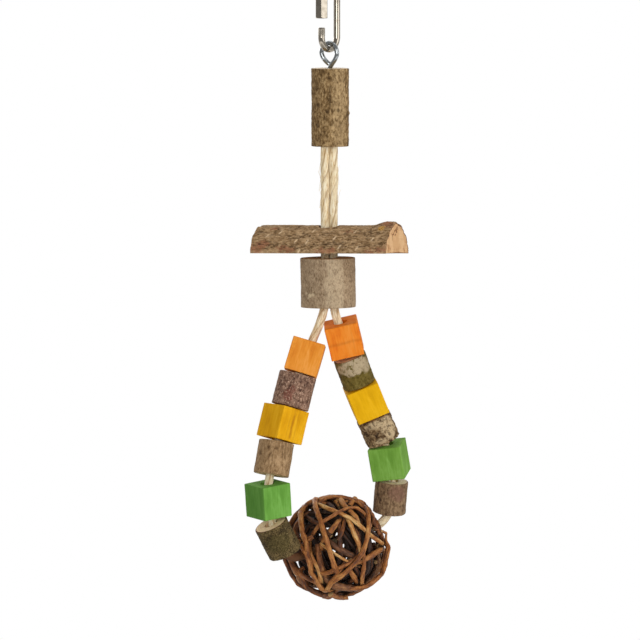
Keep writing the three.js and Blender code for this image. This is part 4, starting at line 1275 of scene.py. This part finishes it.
def softened(points, passes):
    """The line with its corners rounded"""
    for _ in range(passes):
        middle = (points[:-2] + 2 * points[1:-1] + points[2:]) / 4
        points = np.vstack([points[:1], middle, points[-1:]])
    return points


def clear_turn(points, width):
    """Moves points out round the rope and in from the lowest logs, so that the ball can turn"""
    first = unit(np.cross(ball_axis, (0, 0, 1)))
    second = np.cross(ball_axis, first)
    index = np.arange(len(points))
    for _ in range(3):
        along, off_first, off_second = points @ ball_axis, points @ first, points @ second
        away, angle = np.hypot(off_first, off_second), np.unwrap(np.arctan2(off_second, off_first))
        near = np.abs(along[:, None] - rope_along[None, :]) < 4
        need = np.where(near, rope_away[None, :], 0).max(1) + (ROPE_DIAMETER + width) / 2 + ROPE_ROOM
        free = away > need - 0.01
        if free.any():
            angle = np.interp(index, index[free], angle[free])
        radius = np.maximum(away, need)
        lean = along / np.hypot(along, radius)
        spare = BALL_SPARE * (1 - step(np.abs(lean), *SPARE_LEAN))
        limit = BALL_REACH - width / 2 + spare - BALL_DIP * log_side(lean)
        along = np.sign(along) * np.minimum(np.abs(along), np.sqrt(np.maximum(limit ** 2 - radius ** 2, 0)))
        across = np.cos(angle)[:, None] * first + np.sin(angle)[:, None] * second
        points = along[:, None] * ball_axis + radius[:, None] * across
    return softened(points, 12)


def on_ball(trace, width, depth, tucked, side=-1):
    """A traced twig set on the ball's near side or, with side 1, its far one. Tucked ends run on and sink."""
    trace = np.array(trace, float) + TRACE_SHIFT
    line, _ = even(np.column_stack([trace[:, 0], np.zeros(len(trace)), trace[:, 1]]), 0.8)
    inner = BALL_REACH - depth - width / 2
    reach = np.hypot(line[:, 0], line[:, 2])
    line *= np.minimum(1, 0.998 * inner / np.maximum(reach, 1e-6))[:, None]
    line[:, 1] = side * np.sqrt(np.maximum(inner ** 2 - line[:, 0] ** 2 - line[:, 2] ** 2, 0))
    ways = unit(line)
    sink = np.zeros(len(ways))
    turns = np.linspace(*TUCK_TURN, TUCK_POINTS)[:, None]
    for _ in range(2 if tucked else 0):
        # Turned round, so that first the start and then the end is last
        ways, sink = ways[::-1], sink[::-1]
        last, before = ways[-1], ways[-7 if len(ways) > 6 else -2]
        run = last - before
        run = unit(run - last * (run @ last))
        ways = np.vstack([ways, last * np.cos(turns) + run * np.sin(turns)])
        sink = np.append(sink, np.linspace(*TUCK_SINK, TUCK_POINTS))
    reach = BALL_REACH - BALL_DIP * log_side(ways @ ball_axis) - width / 2 - depth - sink
    return softened(ways * reach[:, None], 1)


def inner_loop(rng):
    """A rough hoop inside the ball"""
    across = unit(np.cross(ball_axis, rng.normal(size=3)))
    lean = math.radians(rng.uniform(8, 62))
    pole = ball_axis * math.cos(lean) + across * math.sin(lean)
    first = unit(np.cross(pole, (0.3, 0.5, 0.8)))
    second = np.cross(pole, first)
    turn = (np.linspace(0, 2 * math.pi * rng.uniform(0.75, 0.97), LOOP_CORNERS) + rng.uniform(0, 6))[:, None]
    reach = rng.uniform(18, 27) + rng.normal(0, 0.7, LOOP_CORNERS)
    lift = rng.uniform(-7, 7) + rng.normal(0, 0.8, LOOP_CORNERS)
    ring = np.sqrt(np.maximum(reach ** 2 - lift ** 2, 1))
    corners = ring[:, None] * (first * np.cos(turn) + second * np.sin(turn)) + lift[:, None] * pole
    return softened(even(corners, 0.9)[0], 7)


def ball_twigs():
    """Each twig's line, width and tone: the traced ones, the same turned over for the back, inner hoops"""
    rng = np.random.default_rng(7)
    twigs = []
    for index, (trace, width, depth, tone) in enumerate(FRONT_TWIGS):
        width *= TWIG_GAIN
        line = on_ball(trace, width, depth, index not in LOOSE_TWIGS)
        twigs.append((line, width, tone))
        twigs.append((line * (-1, -0.95, 1), width * 0.96, tone + rng.normal(0, 0.08)))
    for trace, width, depth, tone, side in RIM_TWIGS:
        width *= TWIG_GAIN
        twigs.append((on_ball(trace, width, depth, True, side), width, tone))
    # The inner hoops take dark tones as painted shade inside the ball
    for _ in range(INNER_LOOPS):
        twigs.append((inner_loop(rng), rng.uniform(2.4, 3.6), rng.uniform(0.02, 0.4)))
    return twigs


def make_ball():
    rough = Noise(51)
    points, faces, total = [], [], 0
    values = {"lay": [], "tone": [], "cut": [], "aged": []}
    for index, (line, width, tone) in enumerate(ball_twigs()):
        line, at = even(clear_turn(even(line, 0.2)[0], width), 0.8)
        angle = wound(len(at), TWIG_SIDES)
        knots = 0.16 * np.exp(-(((at + 5 * index) % 17 - 8) / 1.1) ** 2)
        swell = 1 + 0.1 * rough(on_line(at * 0.12, index)) + knots
        wrap = coat(angle, at / 3).reshape(-1, 3)
        bumps = rough.layers(wrap * (1.1, 1.1, 0.8) + index * 3, 4).reshape(angle.shape)
        reach = width / 2 * (swell[:, None] + 0.2 * bumps)
        rings = tube_rings(line, reach, angle, np.cross(np.gradient(line, axis=0)[0], (0.3, 0.9, 0.2)))
        caps = [line[k] + (rings[k] - line[k]) * 0.86 for k in (0, -1)]
        made, sheet = ring_body([caps[0], *rings, caps[1]])
        points.append(made)
        faces += [tuple(v + total for v in face) for face in sheet]
        total += len(made)
        # The caps' rings and then their middles lie at the line's ends
        rows = [0, *range(len(at)), len(at) - 1]
        spine = np.append(np.repeat(line[rows], TWIG_SIDES, 0), line[[0, -1]], 0)
        wrap = coat(angle[rows], at[rows]).reshape(-1, 3) + (index * 7, 0, 0)
        cut = np.zeros((len(rows), TWIG_SIDES))
        cut[[0, -1]] = 1
        # Painted shade: a twig's tone falls on the side facing the ball's middle and on twigs that lie deeper
        # inside
        out = np.linalg.norm(spine, axis=1)
        inward = -np.einsum("ij,ij->i", made - spine, spine) / (width / 2 * out)
        deep = 1 - out / BALL_REACH
        drift = 0.26 * rough(spine * 0.07) + 0.18 * rough(spine * 0.22 + 9)
        values["lay"].append(np.vstack([wrap, np.zeros((2, 3))]))
        values["tone"].append(tone + drift - 0.22 * np.clip(inward, 0, 1) - 0.5 * np.clip(deep - 0.1, 0, 1))
        values["cut"].append(np.append(cut.ravel(), [1, 1]))
        values["aged"].append(np.full(len(made), 0.75 * step(width, 3.3, 4.5)))
    replaced = [f"ball_{layer}_twig_{k}" for layer in ("outer", "inner") for k in (1, 2, 3)]
    add_piece(
        "wicker_ball", "ball", replaced, "willow", np.vstack(points), faces, [willow_material()],
        place=Matrix.Translation(ball_centre * MM), sharp=60,
        values={key: np.concatenate(parts) for key, parts in values.items()},
    )


make_ball()

# Floor
FLOOR_LEVEL = -520.0
FLOOR_REACH = 850.0
FLOOR_SIDES = 96
floor_rim = polar(circle(FLOOR_SIDES), FLOOR_REACH)
floor = add_object(
    "floor", at_level(floor_rim, 0), [tuple(range(FLOOR_SIDES))], [floor_material()],
    Matrix.Translation((0, 0, FLOOR_LEVEL * MM)),
)

# White world, dimmer as a light. Reflections show it behind the object and a dimmer room in front of it.
WORLD_LIGHT = 0.36
world = bpy.data.worlds.new("studio")
scene.world = world
world.use_nodes = True
sky = Tree(world.node_tree)
backdrop = sky.tree.nodes["Background"].inputs
mirrored, looked, through = [
    sky.add("LightPath", output=f"Is {kind} Ray") for kind in ("Glossy", "Camera", "Transmission")
]
way = sky.add("SeparateXYZ", {0: sky.add("TexCoord", output="Generated")}, "Y")
room = sky.span(way, -0.35, 0.45, 0.2, 1.0)
seen = sky.math("MAXIMUM", mirrored * room, sky.math("MAXIMUM", looked, through))
sky.put(backdrop["Color"], (255, 255, 255))
sky.put(backdrop["Strength"], sky.math("MAXIMUM", seen, WORLD_LIGHT))


def lamp(name, place, size, power):
    data = bpy.data.lights.new(name, "AREA")
    data.shape = "RECTANGLE"
    data.size, data.size_y = size
    data.energy = power
    light = bpy.data.objects.new(name, data)
    light.location = place
    light.rotation_euler = (VIEW_TARGET - Vector(place)).to_track_quat("-Z", "Y").to_euler()
    scene.collection.objects.link(light)


lamp("key", (1.9, -1.25, 0.3), (1.9, 1.9), 27)
lamp("fill", (-0.4, -2.2, 0.2), (1.0, 1.0), 17)
lamp("top", (0, 0.2, 1.3), (1.0, 1.0), 3)
lamp("back", (-0.9, 2.0, 0.5), (1.2, 1.2), 15)
